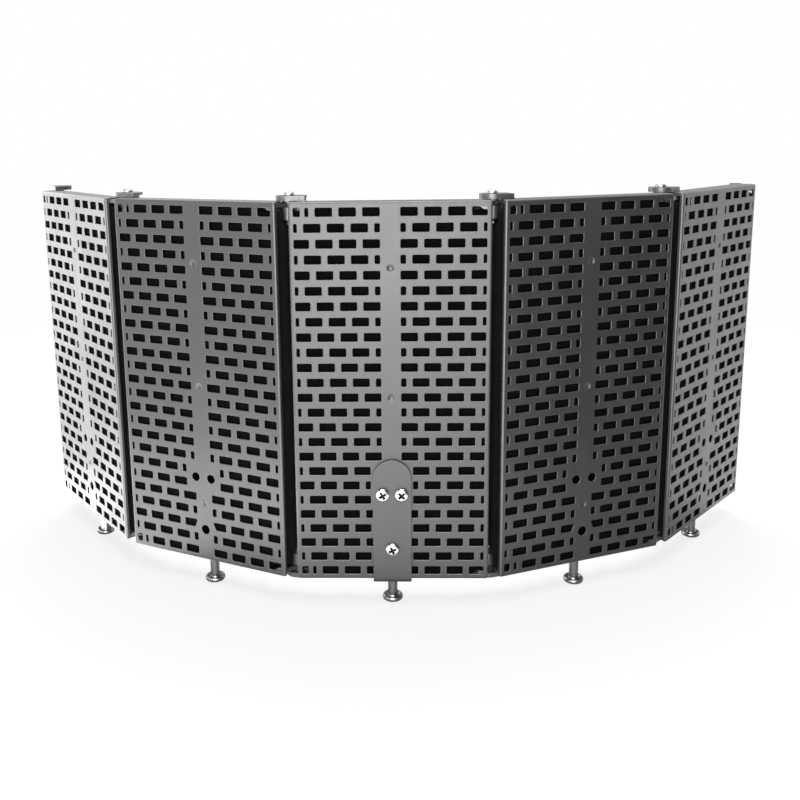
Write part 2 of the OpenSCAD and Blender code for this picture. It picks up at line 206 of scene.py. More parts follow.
def upright(points, y):
    """Points (x, z from the panel's middle) on the plane y."""
    return [(x, y, MID_Z + z) for x, z in points]


def at(x0, y0, z0=0.0):
    """Placement that shifts by (x0, y0, z0)."""
    return lambda x, y, z: (x + x0, y + y0, z + z0)


def facing(x0, z0, y0=0.0, sign=1):
    """Placement that lays the shape's height along y, backwards or (sign -1) forwards."""
    return lambda x, y, z: (x0 + x, y0 + sign * z, z0 + y)


# ------------------------------------------------------------------ mesh building
def add_object(name, data):
    ob = bpy.data.objects.new(name, data)
    bpy.context.scene.collection.objects.link(ob)
    return ob


def fetch(items, name, width=1, dtype=np.float32):
    """One property of all items, as a flat array."""
    values = np.zeros(len(items) * width, dtype)
    items.foreach_get(name, values)
    return values


def edge_values(mesh):
    return fetch(mesh.attributes["edge"].data, "value")


def face_outwards(mesh, weld=0.0):
    """Turns the faces outwards, after joining vertices closer than weld."""
    bm = bmesh.new()
    bm.from_mesh(mesh)
    if weld:
        bmesh.ops.remove_doubles(bm, verts=bm.verts, dist=weld)
    bmesh.ops.recalc_face_normals(bm, faces=bm.faces)
    bm.to_mesh(mesh)
    bm.free()


class Builder:
    """Collects vertices, faces, each face's flat mark and each vertex's edge value.

    The edge value is above 0 on rims, which the materials lighten as rubbed paint and as a painted
    highlight, and below 0 in recesses, which they darken as painted shade; the materials read it.
    """

    def __init__(self):
        self.verts, self.faces, self.flat, self.edge = [], [], [], {}

    def ring(self, points, edge=0.0):
        first = len(self.verts)
        self.verts.extend(tuple(p) for p in points)
        ids = list(range(first, len(self.verts)))
        if edge:
            self.edge.update(dict.fromkeys(ids, edge))
        return ids

    def face(self, ids, flat=False):
        keep = [x for i, x in enumerate(ids) if x != ids[i - 1]]
        if len(keep) > 2:
            self.faces.append(tuple(keep))
            self.flat.append(flat)

    def band(self, a, b, closed=True, flat=False):
        count = len(a)
        for i in range(count if closed else count - 1):
            j = (i + 1) % count
            self.face((a[i], a[j], b[j], b[i]), flat)

    def bands(self, rings):
        for a, b in zip(rings, rings[1:]):
            self.band(a, b)

    def cap(self, loops, axes=(0, 1), pairs=()):
        """Flat face between the first loop and the holes, as triangles; pairs are forced edges."""
        ids = [i for loop in loops for i in loop]
        points = [Vector((self.verts[i][axes[0]], self.verts[i][axes[1]])) for i in ids]
        place = {i: k for k, i in enumerate(ids)}
        edges = []
        for loop in loops:
            edges += [(place[loop[i - 1]], place[loop[i]])
                      for i in range(len(loop)) if loop[i - 1] != loop[i]]
        edges += [(place[a], place[b]) for a, b in pairs]
        hole = {i: n for n, loop in enumerate(loops[1:]) for i in loop}
        _, _, faces, origin, _, _ = delaunay_2d_cdt(points, edges, [], 1, 1e-7)
        for face in faces:
            corners = [ids[origin[i][0]] for i in face]
            inside = {hole.get(i, -1) for i in corners}
            if len(inside) == 1 and -1 not in inside:
                continue                # the inside of a convex opening
            self.face(corners, True)

    def add(self, other, place=None, flip=False):
        first = len(self.verts)
        self.verts += [tuple(place(*p)) if place else p for p in other.verts]
        self.faces += [tuple(first + i for i in (reversed(face) if flip else face))
                       for face in other.faces]
        self.flat += other.flat
        self.edge.update({first + i: value for i, value in other.edge.items()})

    def bare_mesh(self, name):
        mesh = bpy.data.meshes.new(name)
        mesh.from_pydata([Vector(p) for p in self.verts], [], self.faces)
        return mesh

    def mesh(self, name, crease=40.0):
        mesh = self.bare_mesh(name)
        values = np.zeros(len(self.verts), np.float32)
        for i, value in self.edge.items():
            values[i] = value
        edge = mesh.attributes.new("edge", "FLOAT", "POINT")
        edge.data.foreach_set("value", values)
        flat = mesh.attributes.new("flatface", "INT", "FACE")
        flat.data.foreach_set("value", np.array(self.flat, np.int32))
        face_outwards(mesh)
        shade(mesh, crease)
        return mesh


def shade(mesh, crease):
    """Smooth shading in which flat faces and creases above the angle keep their own normal."""
    mesh.update()
    face_normal = fetch(mesh.polygons, "normal", 3).reshape(-1, 3)
    area = fetch(mesh.polygons, "area")
    corners = fetch(mesh.polygons, "loop_total", dtype=np.int32)
    corner_vert = fetch(mesh.loops, "vertex_index", dtype=np.int32)
    flat = fetch(mesh.attributes["flatface"].data, "value", dtype=np.int32)
    weight = area * np.where(flat > 0, 2000.0, 1.0) + 1e-9
    corner_face = np.repeat(np.arange(len(area)), corners)
    total = np.zeros((len(mesh.vertices), 3))
    np.add.at(total, corner_vert, face_normal[corner_face] * weight[corner_face][:, None])
    total /= np.maximum(np.linalg.norm(total, axis=1), 1e-12)[:, None]
    normal = total[corner_vert]
    own_normal = face_normal[corner_face]
    agreement = (normal * own_normal).sum(1)
    own = (agreement < math.cos(math.radians(crease))) | (flat[corner_face] > 0)
    normal[own] = own_normal[own]
    mesh.polygons.foreach_set("use_smooth", np.ones(len(area), bool))
    mesh.normals_split_custom_set([tuple(n) for n in normal])


def plate(builder, outline, low, high, holes, place, low_rim, rim, steps, pairs=()):
    """A plate between two heights; low_rim and rim are the rounding radii of its two faces."""
    turns = [(k, math.pi / 2 * k / steps) for k in range(steps + 1)]
    profile = [(k, low_rim * (1 - math.sin(a)), low + low_rim * (1 - math.cos(a)))
               for k, a in turns]
    profile += [(k, rim * (1 - math.sin(a)), high - rim * (1 - math.cos(a)))
                for k, a in reversed(turns)]
    loops_low, loops_high = [], []
    flat = Builder()
    for n, loop in enumerate([outline] + list(holes)):
        loop = list(loop)
        if (double_area(loop) > 0) != (n == 0):
            loop.reverse()
        sign = -1 if n == 0 else 1
        rings = []
        for k, inset, height in profile:
            edge = 0.8 if 0 < k < steps else (0.4 if k == steps else 0.0)
            rings.append(flat.ring(level(offset(loop, sign * inset), height), edge))
        flat.bands(rings)
        loops_low.append(rings[0])
        loops_high.append(rings[-1])
    for loops in (loops_low, loops_high):
        flat.cap(loops, pairs=[(loops[0][i], loops[0][j]) for i, j in pairs])
    builder.add(flat, place)


def lathe(builder, profile, segments, place=at(0, 0), edges=None, radius_at=None):
    """Turns a (radius, height) profile; radius_at(angle, radius, height) may change the radius."""
    previous = None
    for n, (radius, height) in enumerate(profile):
        edge = edges[n] if edges else 0.0
        if radius < 1e-6:
            ids = builder.ring([place(0, 0, height)], edge) * segments
        else:
            points = []
            for k in range(segments):
                a = TAU * k / segments
                r = radius_at(a, radius, height) if radius_at else radius
                points.append(place(r * math.cos(a), r * math.sin(a), height))
            ids = builder.ring(points, edge)
        if previous is not None:
            builder.band(previous, ids, flat=abs(profile[n - 1][1] - height) < 1e-6)
        previous = ids


def thread(builder, radius, depth, pitch, z0, z1, segments, steps_per_turn, fade, x=0, y=0):
    """A right-hand thread as one closed skin; it fades and tapers at both ends."""
    taper = 0.35 * depth + 0.1
    taper_length = 0.6

    def radius_at(angle, outer, z):
        phase = ((z - z0) / pitch - angle / TAU) % 1.0
        strength = min(1.0, max(0.0, (z - z0) / fade)) * min(1.0, max(0.0, (z1 - z) / fade))
        return (outer - depth * abs(2 * phase - 1) * strength
                - taper * max(0.0, 1 - (z1 - z) / taper_length)
                - taper * max(0.0, 1 - (z - z0) / taper_length))

    count = max(4, int((z1 - z0) / pitch * steps_per_turn))
    profile = [(radius, z0 + (z1 - z0) * k / count) for k in range(count + 1)]
    lathe(builder, [(0, z0)] + profile + [(0, z1)], segments, at(x, y), radius_at=radius_at)


def from_mesh(mesh):
    builder = Builder()
    builder.verts = [tuple(v.co) for v in mesh.vertices]
    builder.faces = [tuple(p.vertices) for p in mesh.polygons]
    builder.flat = [False] * len(builder.faces)
    builder.edge = {i: float(v) for i, v in enumerate(edge_values(mesh)) if v}
    return builder


def both_ends(top, name):
    """Mesh of top, built with z from the panel's middle, and its mirror image at the bottom."""
    builder = Builder()
    builder.add(top, at(0, 0, MID_Z))
    builder.add(top, lambda x, y, z: (x, y, MID_Z - z), flip=True)
    return builder.mesh(name, crease=42)


def extrude(outline, z0, z1):
    builder = Builder()
    low = builder.ring(level(outline, z0))
    high = builder.ring(level(outline, z1))
    builder.band(low, high)
    builder.face(low[::-1])
    builder.face(high)
    return builder


def cylinder(x, y, radius, z0, z1, count):
    return extrude(circle(x, y, radius, count), z0, z1)


def solid_object(builder):
    mesh = builder.bare_mesh("solid")
    face_outwards(mesh, weld=1e-4)
    return add_object("solid", mesh)


def combine(base, steps):
    """Mesh of base after ("UNION" or "DIFFERENCE", builder) steps."""
    body = solid_object(base)
    for operation, builder in steps:
        tool = solid_object(builder)
        boolean = body.modifiers.new("boolean", "BOOLEAN")
        boolean.operation = operation
        boolean.object = tool
        boolean.solver = "EXACT"
        bpy.context.view_layer.update()
        graph = bpy.context.evaluated_depsgraph_get()
        mesh = bpy.data.meshes.new_from_object(body.evaluated_get(graph))
        body.modifiers.clear()
        old = body.data
        body.data = mesh
        bpy.data.meshes.remove(old)
        bpy.data.objects.remove(tool)
    mesh = body.data
    bpy.data.objects.remove(body)
    return mesh


def sharp_edges(bm, angle):
    return [e for e in bm.edges
            if len(e.link_faces) == 2 and e.calc_face_angle(0) > math.radians(angle)]


def bevel(bm, edges, width, segments, edge_value):
    """Rounds the edges and gives the rounded faces' vertices the edge value."""
    result = bmesh.ops.bevel(bm, geom=edges, offset=width, segments=segments, profile=0.5,
                             affect="EDGES", clamp_overlap=True)
    layer = bm.verts.layers.float.get("edge")
    for face in result["faces"]:
        for vert in face.verts:
            vert[layer] = edge_value


def soften(mesh, width, segments, angle=50.0):
    """A copy of the mesh with its sharp edges rounded."""
    bm = bmesh.new()
    bm.from_mesh(mesh)
    bm.verts.layers.float.new("edge")
    bmesh.ops.remove_doubles(bm, verts=bm.verts, dist=1e-4)
    bmesh.ops.dissolve_degenerate(bm, edges=bm.edges, dist=1e-4)
    bmesh.ops.dissolve_limit(bm, angle_limit=math.radians(1.0), verts=bm.verts, edges=bm.edges)
    bmesh.ops.recalc_face_normals(bm, faces=bm.faces)
    bevel(bm, sharp_edges(bm, angle), width, segments, edge_value=0.7)
    bmesh.ops.recalc_face_normals(bm, faces=bm.faces)
    softened = bpy.data.meshes.new(mesh.name)
    bm.to_mesh(softened)
    bm.free()
    return softened


# ------------------------------------------------------------------ materials
def grey(value):
    return (value,) * 3


def scaled(colour, factor):
    return tuple(c * factor for c in colour)


class NodeGraph:
    """Node tree of a material or world; methods add nodes and, except node, return an output."""

    def __init__(self, owner, output_kind):
        owner.use_nodes = True
        self.tree = owner.node_tree
        self.tree.nodes.clear()
        self.output = self.node(output_kind)

    def feed(self, node, inputs):
        """Sets or links inputs, given as {name or index: number, tuple or output socket}."""
        for key, value in inputs.items():
            socket = node.inputs[key]
            if isinstance(value, bpy.types.NodeSocket):
                self.tree.links.new(value, socket)
            elif socket.type == "RGBA":
                socket.default_value = (*value, 1)
            else:
                socket.default_value = value

    def node(self, kind, inputs=None, **settings):
        node = self.tree.nodes.new("ShaderNode" + kind)
        for key, value in settings.items():
            setattr(node, key, value)
        self.feed(node, inputs or {})
        return node

    def texture(self, kind, place, scale, detail=2.0, rough=0.5, output=0):
        inputs = {"Vector": place, "Scale": scale, "Detail": detail, "Roughness": rough}
        return self.node("Tex" + kind, inputs).outputs[output]

    def noise(self, place, scale, detail, rough, output=0):
        return self.texture("Noise", place, scale, detail, rough, output)

    def ramp(self, source, stops):
        """Colour ramp; stops are (position, colour) in order."""
        node = self.node("ValToRGB", {0: source})
        elements = node.color_ramp.elements
        for element, (position, colour) in zip(elements, (stops[0], stops[-1])):
            element.position = position
            element.color = (*colour, 1)
        for position, colour in stops[1:-1]:
            elements.new(position).color = (*colour, 1)
        return node.outputs[0]

    def mix(self, factor, a, b, blend="MIX"):
        inputs = {0: factor, 6: a, 7: b}
        return self.node("Mix", inputs, data_type="RGBA", blend_type=blend).outputs[2]

    def maths(self, operation, *values):
        return self.node("Math", dict(enumerate(values)), operation=operation).outputs[0]

    def vector_maths(self, operation, *values):
        node = self.node("VectorMath", dict(enumerate(values)), operation=operation)
        return node

    def mixed_shader(self, factor, a, b):
        return self.node("MixShader", {0: factor, 1: a, 2: b}).outputs[0]

    def roughness(self, source, limits):
        """Maps a noise from 0.3 to 0.7 onto two roughness limits."""
        return self.node("MapRange", {0: source, 1: 0.3, 2: 0.7,
                                      3: limits[0], 4: limits[1]}).outputs[0]

    def object_coords(self, stretch=(1, 1, 1)):
        """Object coordinates with a shift of their own for each pass index."""
        coords = self.node("TexCoord").outputs["Object"]
        index = self.node("ObjectInfo").outputs["Object Index"]
        mapped = self.node("Mapping", {"Vector": coords, "Scale": stretch}).outputs[0]
        shift = self.node("CombineXYZ", {0: index, 1: index, 2: index}).outputs[0]
        return self.vector_maths("MULTIPLY_ADD", shift, (37.0, 53.0, 71.0), mapped).outputs[0]

    def bump(self, height, distance, strength, normal=None):
        inputs = {"Strength": strength, "Distance": distance, "Height": height}
        if normal is not None:
            inputs["Normal"] = normal
        return self.node("Bump", inputs).outputs[0]

    def edge(self):
        return self.node("Attribute", attribute_name="edge").outputs["Fac"]


def new_material(name):
    material = bpy.data.materials.new(name)
    graph = NodeGraph(material, "OutputMaterial")
    principled = graph.node("BsdfPrincipled")
    graph.feed(graph.output, {0: principled.outputs[0]})
    return material, graph, principled


def powder(name, base, edge_lift, rough):
    """Semi-matt powder coat: orange peel, faint blotches, thinner on the edges, where the colour
    is lightened as rubbed paint and as a painted highlight.
    """
    material, graph, principled = new_material(name)
    place = graph.object_coords()
    fine = graph.noise(place, scale=1.9, detail=3, rough=0.6)
    peel = graph.noise(place, scale=0.75, detail=2, rough=0.5)
    cloud = graph.noise(place, scale=0.03, detail=4, rough=0.6)
    smear = graph.noise(graph.object_coords(stretch=(1.0, 1.0, 0.12)),
                        scale=0.12, detail=3, rough=0.6)
    colour = graph.ramp(cloud, [(0.3, scaled(base, 0.9)), (0.7, scaled(base, 1.08))])
    speck = graph.ramp(fine, [(0.42, grey(0.9)), (0.6, grey(1.0)), (0.75, grey(1.1))])
    colour = graph.mix(0.8, colour, speck, "MULTIPLY")
    # rubbed paint and a painted highlight on the edges, broken up by the orange peel
    patchy = graph.maths("MULTIPLY_ADD", peel, 1.2, 0.25)
    edge_wear_and_highlight = graph.maths("MINIMUM", graph.maths("MULTIPLY", graph.edge(), patchy), 1.0)
    relief = graph.bump(peel, distance=0.00008, strength=0.5)
    graph.feed(principled, {
        "Base Color": graph.mix(edge_wear_and_highlight, colour, scaled(base, edge_lift)),
        "Roughness": graph.roughness(graph.mix(0.5, cloud, smear), rough),
        "Specular IOR Level": graph.maths("MULTIPLY_ADD", edge_wear_and_highlight, 0.45, 0.5),
        "Normal": graph.bump(fine, distance=0.00005, strength=0.55, normal=relief),
    })
    return material


def metal(name, base, rough, contrast=0.12):
    """Plated steel: crystalline blotches, fine grain, edges lightened as rubbed plating and as a
    painted highlight, and painted shade, near black, in the recesses.
    """
    material, graph, principled = new_material(name)
    place = graph.object_coords()
    blotch = graph.noise(place, scale=0.7, detail=4, rough=0.6)
    fine = graph.noise(place, scale=6.0, detail=2, rough=0.5)
    crystals = graph.texture("Voronoi", place, scale=1.6)
    colour = graph.ramp(blotch, [(0.3, scaled(base, 1 - contrast)),
                                 (0.7, scaled(base, 1 + contrast))])
    crystals = graph.ramp(crystals, [(0.0, grey(1.0)), (0.8, grey(0.7))])
    colour = graph.mix(0.15, colour, crystals, "MULTIPLY")
    edge = graph.edge()
    # edges lightened: rubbed plating and a painted highlight
    rim_wear_and_highlight = graph.maths("MULTIPLY", graph.maths("MAXIMUM", edge, 0.0), 0.5)
    colour = graph.mix(rim_wear_and_highlight, colour, scaled(base, 1.15))
    # painted shade: near black where the edge value is below 0, down in the recesses
    recess_painted_shade = graph.maths("MAXIMUM", graph.maths("MULTIPLY", edge, -1.6), 0.0)
    recess_painted_shade = graph.maths("MINIMUM", recess_painted_shade, 1.0)
    graph.feed(principled, {
        "Base Color": graph.mix(recess_painted_shade, colour, (0.012, 0.012, 0.013)),
        "Metallic": 1.0,
        "Roughness": graph.roughness(graph.mix(0.5, blotch, fine), rough),
        "Normal": graph.bump(fine, distance=0.00001, strength=0.5),
    })
    return material


def foam(name, base):
    """Open-cell foam: small round pores with painted shade inside them, soft mottling, and painted
    shade towards the front, behind the sheet.
    """
    material, graph, principled = new_material(name)
    place = graph.object_coords()
    warp = graph.noise(place, scale=0.5, detail=2, rough=0.5, output=1)
    warped = graph.vector_maths("MULTIPLY_ADD", warp, grey(0.9), place).outputs[0]
    large = graph.texture("Voronoi", warped, scale=0.85)
    small = graph.texture("Voronoi", warped, scale=2.1)
    grain = graph.noise(place, scale=3.2, detail=3, rough=0.65)
    cloud = graph.noise(place, scale=0.045, detail=3, rough=0.6)
    pores = graph.maths("MINIMUM", graph.maths("MULTIPLY", large, 1.5),
                        graph.maths("MULTIPLY_ADD", small, 1.4, 0.15))
    # painted shade: the pores are dark in their middles
    colour = graph.ramp(pores, [(0.08, scaled(base, 0.25)), (0.4, scaled(base, 0.9)),
                                (0.95, scaled(base, 1.7))])
    mottle = graph.ramp(cloud, [(0.3, grey(0.75)), (0.7, grey(1.2))])
    colour = graph.mix(0.5, colour, mottle, "MULTIPLY")
    # painted shade behind the sheet: y on the panel, over the 12 mm in which the foam darkens
    # towards the sheet
    split = graph.node("SeparateXYZ", {0: graph.node("TexCoord").outputs["Object"]})
    depth = graph.maths("DIVIDE", split.outputs[1], 12.0)
    depth = graph.ramp(depth, [(0.3, grey(0.08)), (1.0, grey(1.0))])
    relief = graph.bump(pores, distance=0.0006, strength=0.9)
    graph.feed(principled, {
        "Base Color": graph.mix(1.0, colour, depth, "MULTIPLY"),
        "Roughness": 0.95,
        "Specular IOR Level": 0.03,
        "Sheen Weight": 0.012,
        "Sheen Roughness": 0.6,
        "Normal": graph.bump(grain, distance=0.0002, strength=0.7, normal=relief),
    })
    return material


# base is the linear colour, rough the limits of the roughness
MATERIALS = {name: make(name, **settings) for name, make, settings in [
    ("powder_coat", powder,
     dict(base=(0.035, 0.035, 0.0358), edge_lift=1.7, rough=(0.4, 0.5))),
    ("bracket_paint", powder,
     dict(base=(0.031, 0.031, 0.0318), edge_lift=1.6, rough=(0.42, 0.52))),
    ("hinge_paint", powder, dict(base=(0.06, 0.06, 0.061), edge_lift=1.5, rough=(0.36, 0.46))),
    ("zinc", metal, dict(base=(0.3, 0.303, 0.31), rough=(0.26, 0.4))),
    ("bright_zinc", metal, dict(base=(0.42, 0.423, 0.43), rough=(0.18, 0.3), contrast=0.06)),
    ("foot_steel", metal, dict(base=(0.19, 0.19, 0.193), rough=(0.26, 0.4))),
    ("absorber_foam", foam, dict(base=(0.024, 0.024, 0.0245))),
]}


# ------------------------------------------------------------------ the perforated shell
ROWS, ROW_PITCH = 25, 12.0
SLOT_WIDTH, SLOT_HEIGHT, SLOT_PITCH = 12.8, 6.6, 17.83
FIRST_SLOT = 14.19                      # x of the first slot in even rows, counted from the top
STRIP = 7.8                             # half-width of the blank strip in the middle
WIDE_STRIP, WIDE_STRIP_ROWS = 16.7, (18, 19)
SLOT_LIMIT = 72.65                      # outermost x of a slot
CLIPPED_ROW, CLIP = 22, 2.6             # row whose innermost slots lose their lower inner corner
FRONT_RIM, BACK_RIM = 0.42, 0.22        # rounding and chamfer of the openings
DIMPLE_HEIGHTS = (101.4, 0.0, -100.8)   # from the panel's middle
# radius and depth
DIMPLE = [(3.3, 0.0), (3.05, 0.03), (2.75, 0.16), (2.3, 0.42), (1.7, 0.68), (1.0, 0.84),
          (0.45, 0.9)]
LIP = 3.4                               # y of the lip's rear end on the uprights
CORNER_STEPS = 5
FLAT_X, FLAT_Z = HALF_WIDTH - BEND, HALF_HEIGHT - BEND
FLAT_CORNERS = [(FLAT_X, FLAT_Z), (-FLAT_X, FLAT_Z), (-FLAT_X, -FLAT_Z), (FLAT_X, -FLAT_Z)]
RELIEF = 7.2                            # radius cut out of the flanges about the pivots
FOOT_HOLE = 3.3


def slot_spans(row, side):
    """Distances from the middle at which the slots of one row and side begin and end."""
    limit = WIDE_STRIP if row in WIDE_STRIP_ROWS else STRIP
    first = FIRST_SLOT + (SLOT_PITCH / 2 if row % 2 else 0)
    spans = []
    for k in range(-1, 5):
        centre = first + k * SLOT_PITCH
        inner = max(centre - SLOT_WIDTH / 2, limit)
        outer = min(centre + SLOT_WIDTH / 2, SLOT_LIMIT)
        if outer - inner <= 2:
            continue
        if row in (0, ROWS - 1) and side < 0 and k == 3:
            spans += [(inner, inner + 2.6), (outer - 5, outer)]   # one slot split in two
        else:
            spans.append((inner, outer))
    return spans


def slot_outlines():
    outlines = []
    for row in range(ROWS):
        z = (ROWS // 2 - row) * ROW_PITCH
        high, low = z + SLOT_HEIGHT / 2, z - SLOT_HEIGHT / 2
        for side in (-1, 1):
            for inner, outer in slot_spans(row, side):
                clip = CLIP if row == CLIPPED_ROW and inner < FIRST_SLOT else 0
                corners = [(side * inner, high), (side * outer, high),
                           (side * outer, low), (side * (inner + clip), low)]
                outlines.append(fillet(corners, min(0.95, (outer - inner) / 2 - 0.2), 4))
    return outlines


def shell_opening(builder, outline):
    """Rounded rim, wall and back chamfer of one opening; gives its front and back loops."""
    if double_area(outline) < 0:
        outline = list(reversed(outline))
    rings = []                          # outset, y, edge value
    # the edge values lighten the rounded rim in the materials, as rubbed paint and as a painted
    # highlight
    for k, edge in enumerate((0.0, 0.9, 1.0, 0.35)):
        a = math.pi / 2 * k / 3
        rings.append((FRONT_RIM * (1 - math.sin(a)), FRONT_RIM * (1 - math.cos(a)), edge))
    rings.append((0.0, SHEET - BACK_RIM, 0.2))
    rings.append((BACK_RIM, SHEET, 0.0))
    ids = [builder.ring(upright(offset(outline, outset), y), edge) for outset, y, edge in rings]
    builder.bands(ids)
    return ids[0], ids[-1]


def shell_dimple(builder, z):
    """A pressed bowl in front and a low bump behind; gives their outer loops."""
    front = [builder.ring(upright(circle(0, z, radius, 28), depth), 0.5 if 0 < k < 3 else 0)
             for k, (radius, depth) in enumerate(DIMPLE)]
    back = [builder.ring(upright(circle(0, z, radius * 1.05, 28), SHEET + depth * 0.8))
            for radius, depth in DIMPLE]
    for rings, deepest in ((front, 0.9), (back, SHEET + 0.72)):
        builder.bands(rings)
        tip = builder.ring([(0, deepest + 0.01, MID_Z + z)])
        builder.band(rings[-1], tip * 28)
    return front[0], back[0]


def perimeter(builder, outset, y, edge=0.0):
    """Ring about the flat sheet with rounded corners."""
    points = []
    for quarter, (cx, cz) in enumerate(FLAT_CORNERS):
        for k in range(CORNER_STEPS + 1):
            a = math.pi / 2 * (quarter + k / CORNER_STEPS)
            points.append((cx + outset * math.cos(a), cz + outset * math.sin(a)))
    return builder.ring(upright(points, y), edge)


def shell_bend(builder, start, radius, y, edges):
    """One skin of the bend and lip, from the flat sheet's four corners; gives the last ring."""
    previous = [corner for corner in start for _ in range(CORNER_STEPS + 1)]
    for k, edge in enumerate(edges, 1):
        a = math.pi / 2 * k / len(edges)
        ring = perimeter(builder, radius * math.sin(a), y + radius * (1 - math.cos(a)), edge)
        builder.band(previous, ring)
        previous = ring
    lip = perimeter(builder, radius, LIP)
    builder.band(previous, lip)
    return lip


def flange_arc():
    """(x, y) of the cut about the pivot at a flange's +x end, from the lip to the rear edge."""
    y0 = PIVOT_Y - math.sqrt(RELIEF * RELIEF - (PIVOT_X - FLAT_X) ** 2)
    x1 = PIVOT_X - math.sqrt(RELIEF * RELIEF - (PIVOT_Y - FLANGE_DEPTH) ** 2)
    a0 = math.atan2(y0 - PIVOT_Y, FLAT_X - PIVOT_X)
    a1 = math.atan2(FLANGE_DEPTH - PIVOT_Y, x1 - PIVOT_X)
    if a1 > 0:
        a1 -= TAU
    angles = [a0 + (a1 - a0) * k / 8 for k in range(9)]
    return [(PIVOT_X + RELIEF * math.cos(a), PIVOT_Y + RELIEF * math.sin(a)) for a in angles]


def shell_flange(builder, outer_ends, inner_ends, end):
    """Top (end 1) or bottom (end -1) flange behind the lip, between two pairs of lip vertices."""
    side = 1 if builder.verts[outer_ends[0]][0] > 0 else -1
    arc = flange_arc()
    path = [(side * x, y) for x, y in arc] + [(-side * x, y) for x, y in reversed(arc)]
    z_outer, z_inner = MID_Z + end * HALF_HEIGHT, MID_Z + end * (HALF_HEIGHT - SHEET)
    cut_outer = builder.ring(level(path, z_outer))
    cut_inner = builder.ring(level(path, z_inner))
    chain_outer = [outer_ends[0]] + cut_outer + [outer_ends[1]]
    chain_inner = [inner_ends[0]] + cut_inner + [inner_ends[1]]
    loops_outer, loops_inner = [chain_outer], [chain_inner]
    if end < 0:
        hole = circle(0, FOOT_Y, FOOT_HOLE, 32)
        hole_outer = builder.ring(level(hole, z_outer), 0.4)
        hole_inner = builder.ring(level(hole, z_inner))
        builder.band(hole_outer, hole_inner)
        loops_outer.append(hole_outer)
        loops_inner.append(hole_inner)
    builder.cap(loops_outer)
    builder.cap(loops_inner)
    builder.band(chain_outer, chain_inner, closed=False)


def round_rear_rims(mesh):
    """Rounds the rear edges of the lips and flanges, except about the foot's hole."""
    bm = bmesh.new()
    bm.from_mesh(mesh)
    edges = [e for e in sharp_edges(bm, 60)
             if min(v.co.y for v in e.verts) > LIP - 0.1
             and e.calc_length() > 0.05
             and not all(abs(v.co.x) < 6 for v in e.verts)]
    bevel(bm, edges, width=0.28, segments=2, edge_value=0.8)
    bm.to_mesh(mesh)
    bm.free()
    shade(mesh, 42)


def build_shell():
    builder = Builder()
    front = builder.ring(upright(FLAT_CORNERS, 0))
    back = builder.ring(upright(FLAT_CORNERS, SHEET))
    outlines = slot_outlines()
    outlines += [circle(x, BOTTOM + height - MID_Z, radius, 36)
                 for x, height, radius, _, _ in BRACKET_SCREWS]
    loops = [(front, back)]
    loops += [shell_opening(builder, outline) for outline in outlines]
    loops += [shell_dimple(builder, z) for z in DIMPLE_HEIGHTS]
    builder.cap([loop[0] for loop in loops], (0, 2))
    builder.cap([loop[1] for loop in loops], (0, 2))

    outer = shell_bend(builder, front, BEND, 0, edges=[0.2, 0.6, 0.6, 0.6, 0.6, 0.2])
    inner = shell_bend(builder, back, BEND - SHEET, SHEET, edges=[0.0] * 3)

    def lip_end(i, j):
        builder.face((outer[i], outer[j], inner[j], inner[i]), True)

    per_corner = CORNER_STEPS + 1
    for quarter in range(4):            # the lip's end round the corners
        for k in range(CORNER_STEPS):
            lip_end(quarter * per_corner + k, quarter * per_corner + k + 1)
    # last vertex of each corner and first of the next
    sides = [(q * per_corner + CORNER_STEPS, (q + 1) % 4 * per_corner) for q in range(4)]
    lip_end(*sides[1])                  # the uprights at -x and +x
    lip_end(*sides[3])
    for (i, j), end in ((sides[0], 1), (sides[2], -1)):
        shell_flange(builder, (outer[i], outer[j]), (inner[i], inner[j]), end)
    mesh = builder.mesh("shell")
    round_rear_rims(mesh)
    return mesh


# ------------------------------------------------------------------ the foam pads
PAD_CELL = 1.7
PAD_ORIGIN = (-80.0, -1.0, BOTTOM - 3.0)
PAD_EXTENT = (160.0, 42.0, TOP - BOTTOM + 6.0)
PYRAMID_X, PYRAMID_Z = 151.0 / 6, 2 * 150.0 / 12   # pitches of the pyramids
PAD_FRONT, PAD_BACK = 1.85, 25.2        # y of the front face and of the valleys
PAD_HALF = 74.7                         # half-width at the front
PAD_STEP, PAD_STEP_Y = 1.6, 4.3         # widening just behind the front, and where it ends
PAD_WIDEST = PIVOT_X + 0.45             # half-width at the pivots' depth
PAD_REAR_HALF, PAD_REAR_Y = 63.8, 37.0  # the sides slope in towards this point
HINGE_ROOM_Y, HINGE_ROOM_DEPTH = 22.9, 18.3


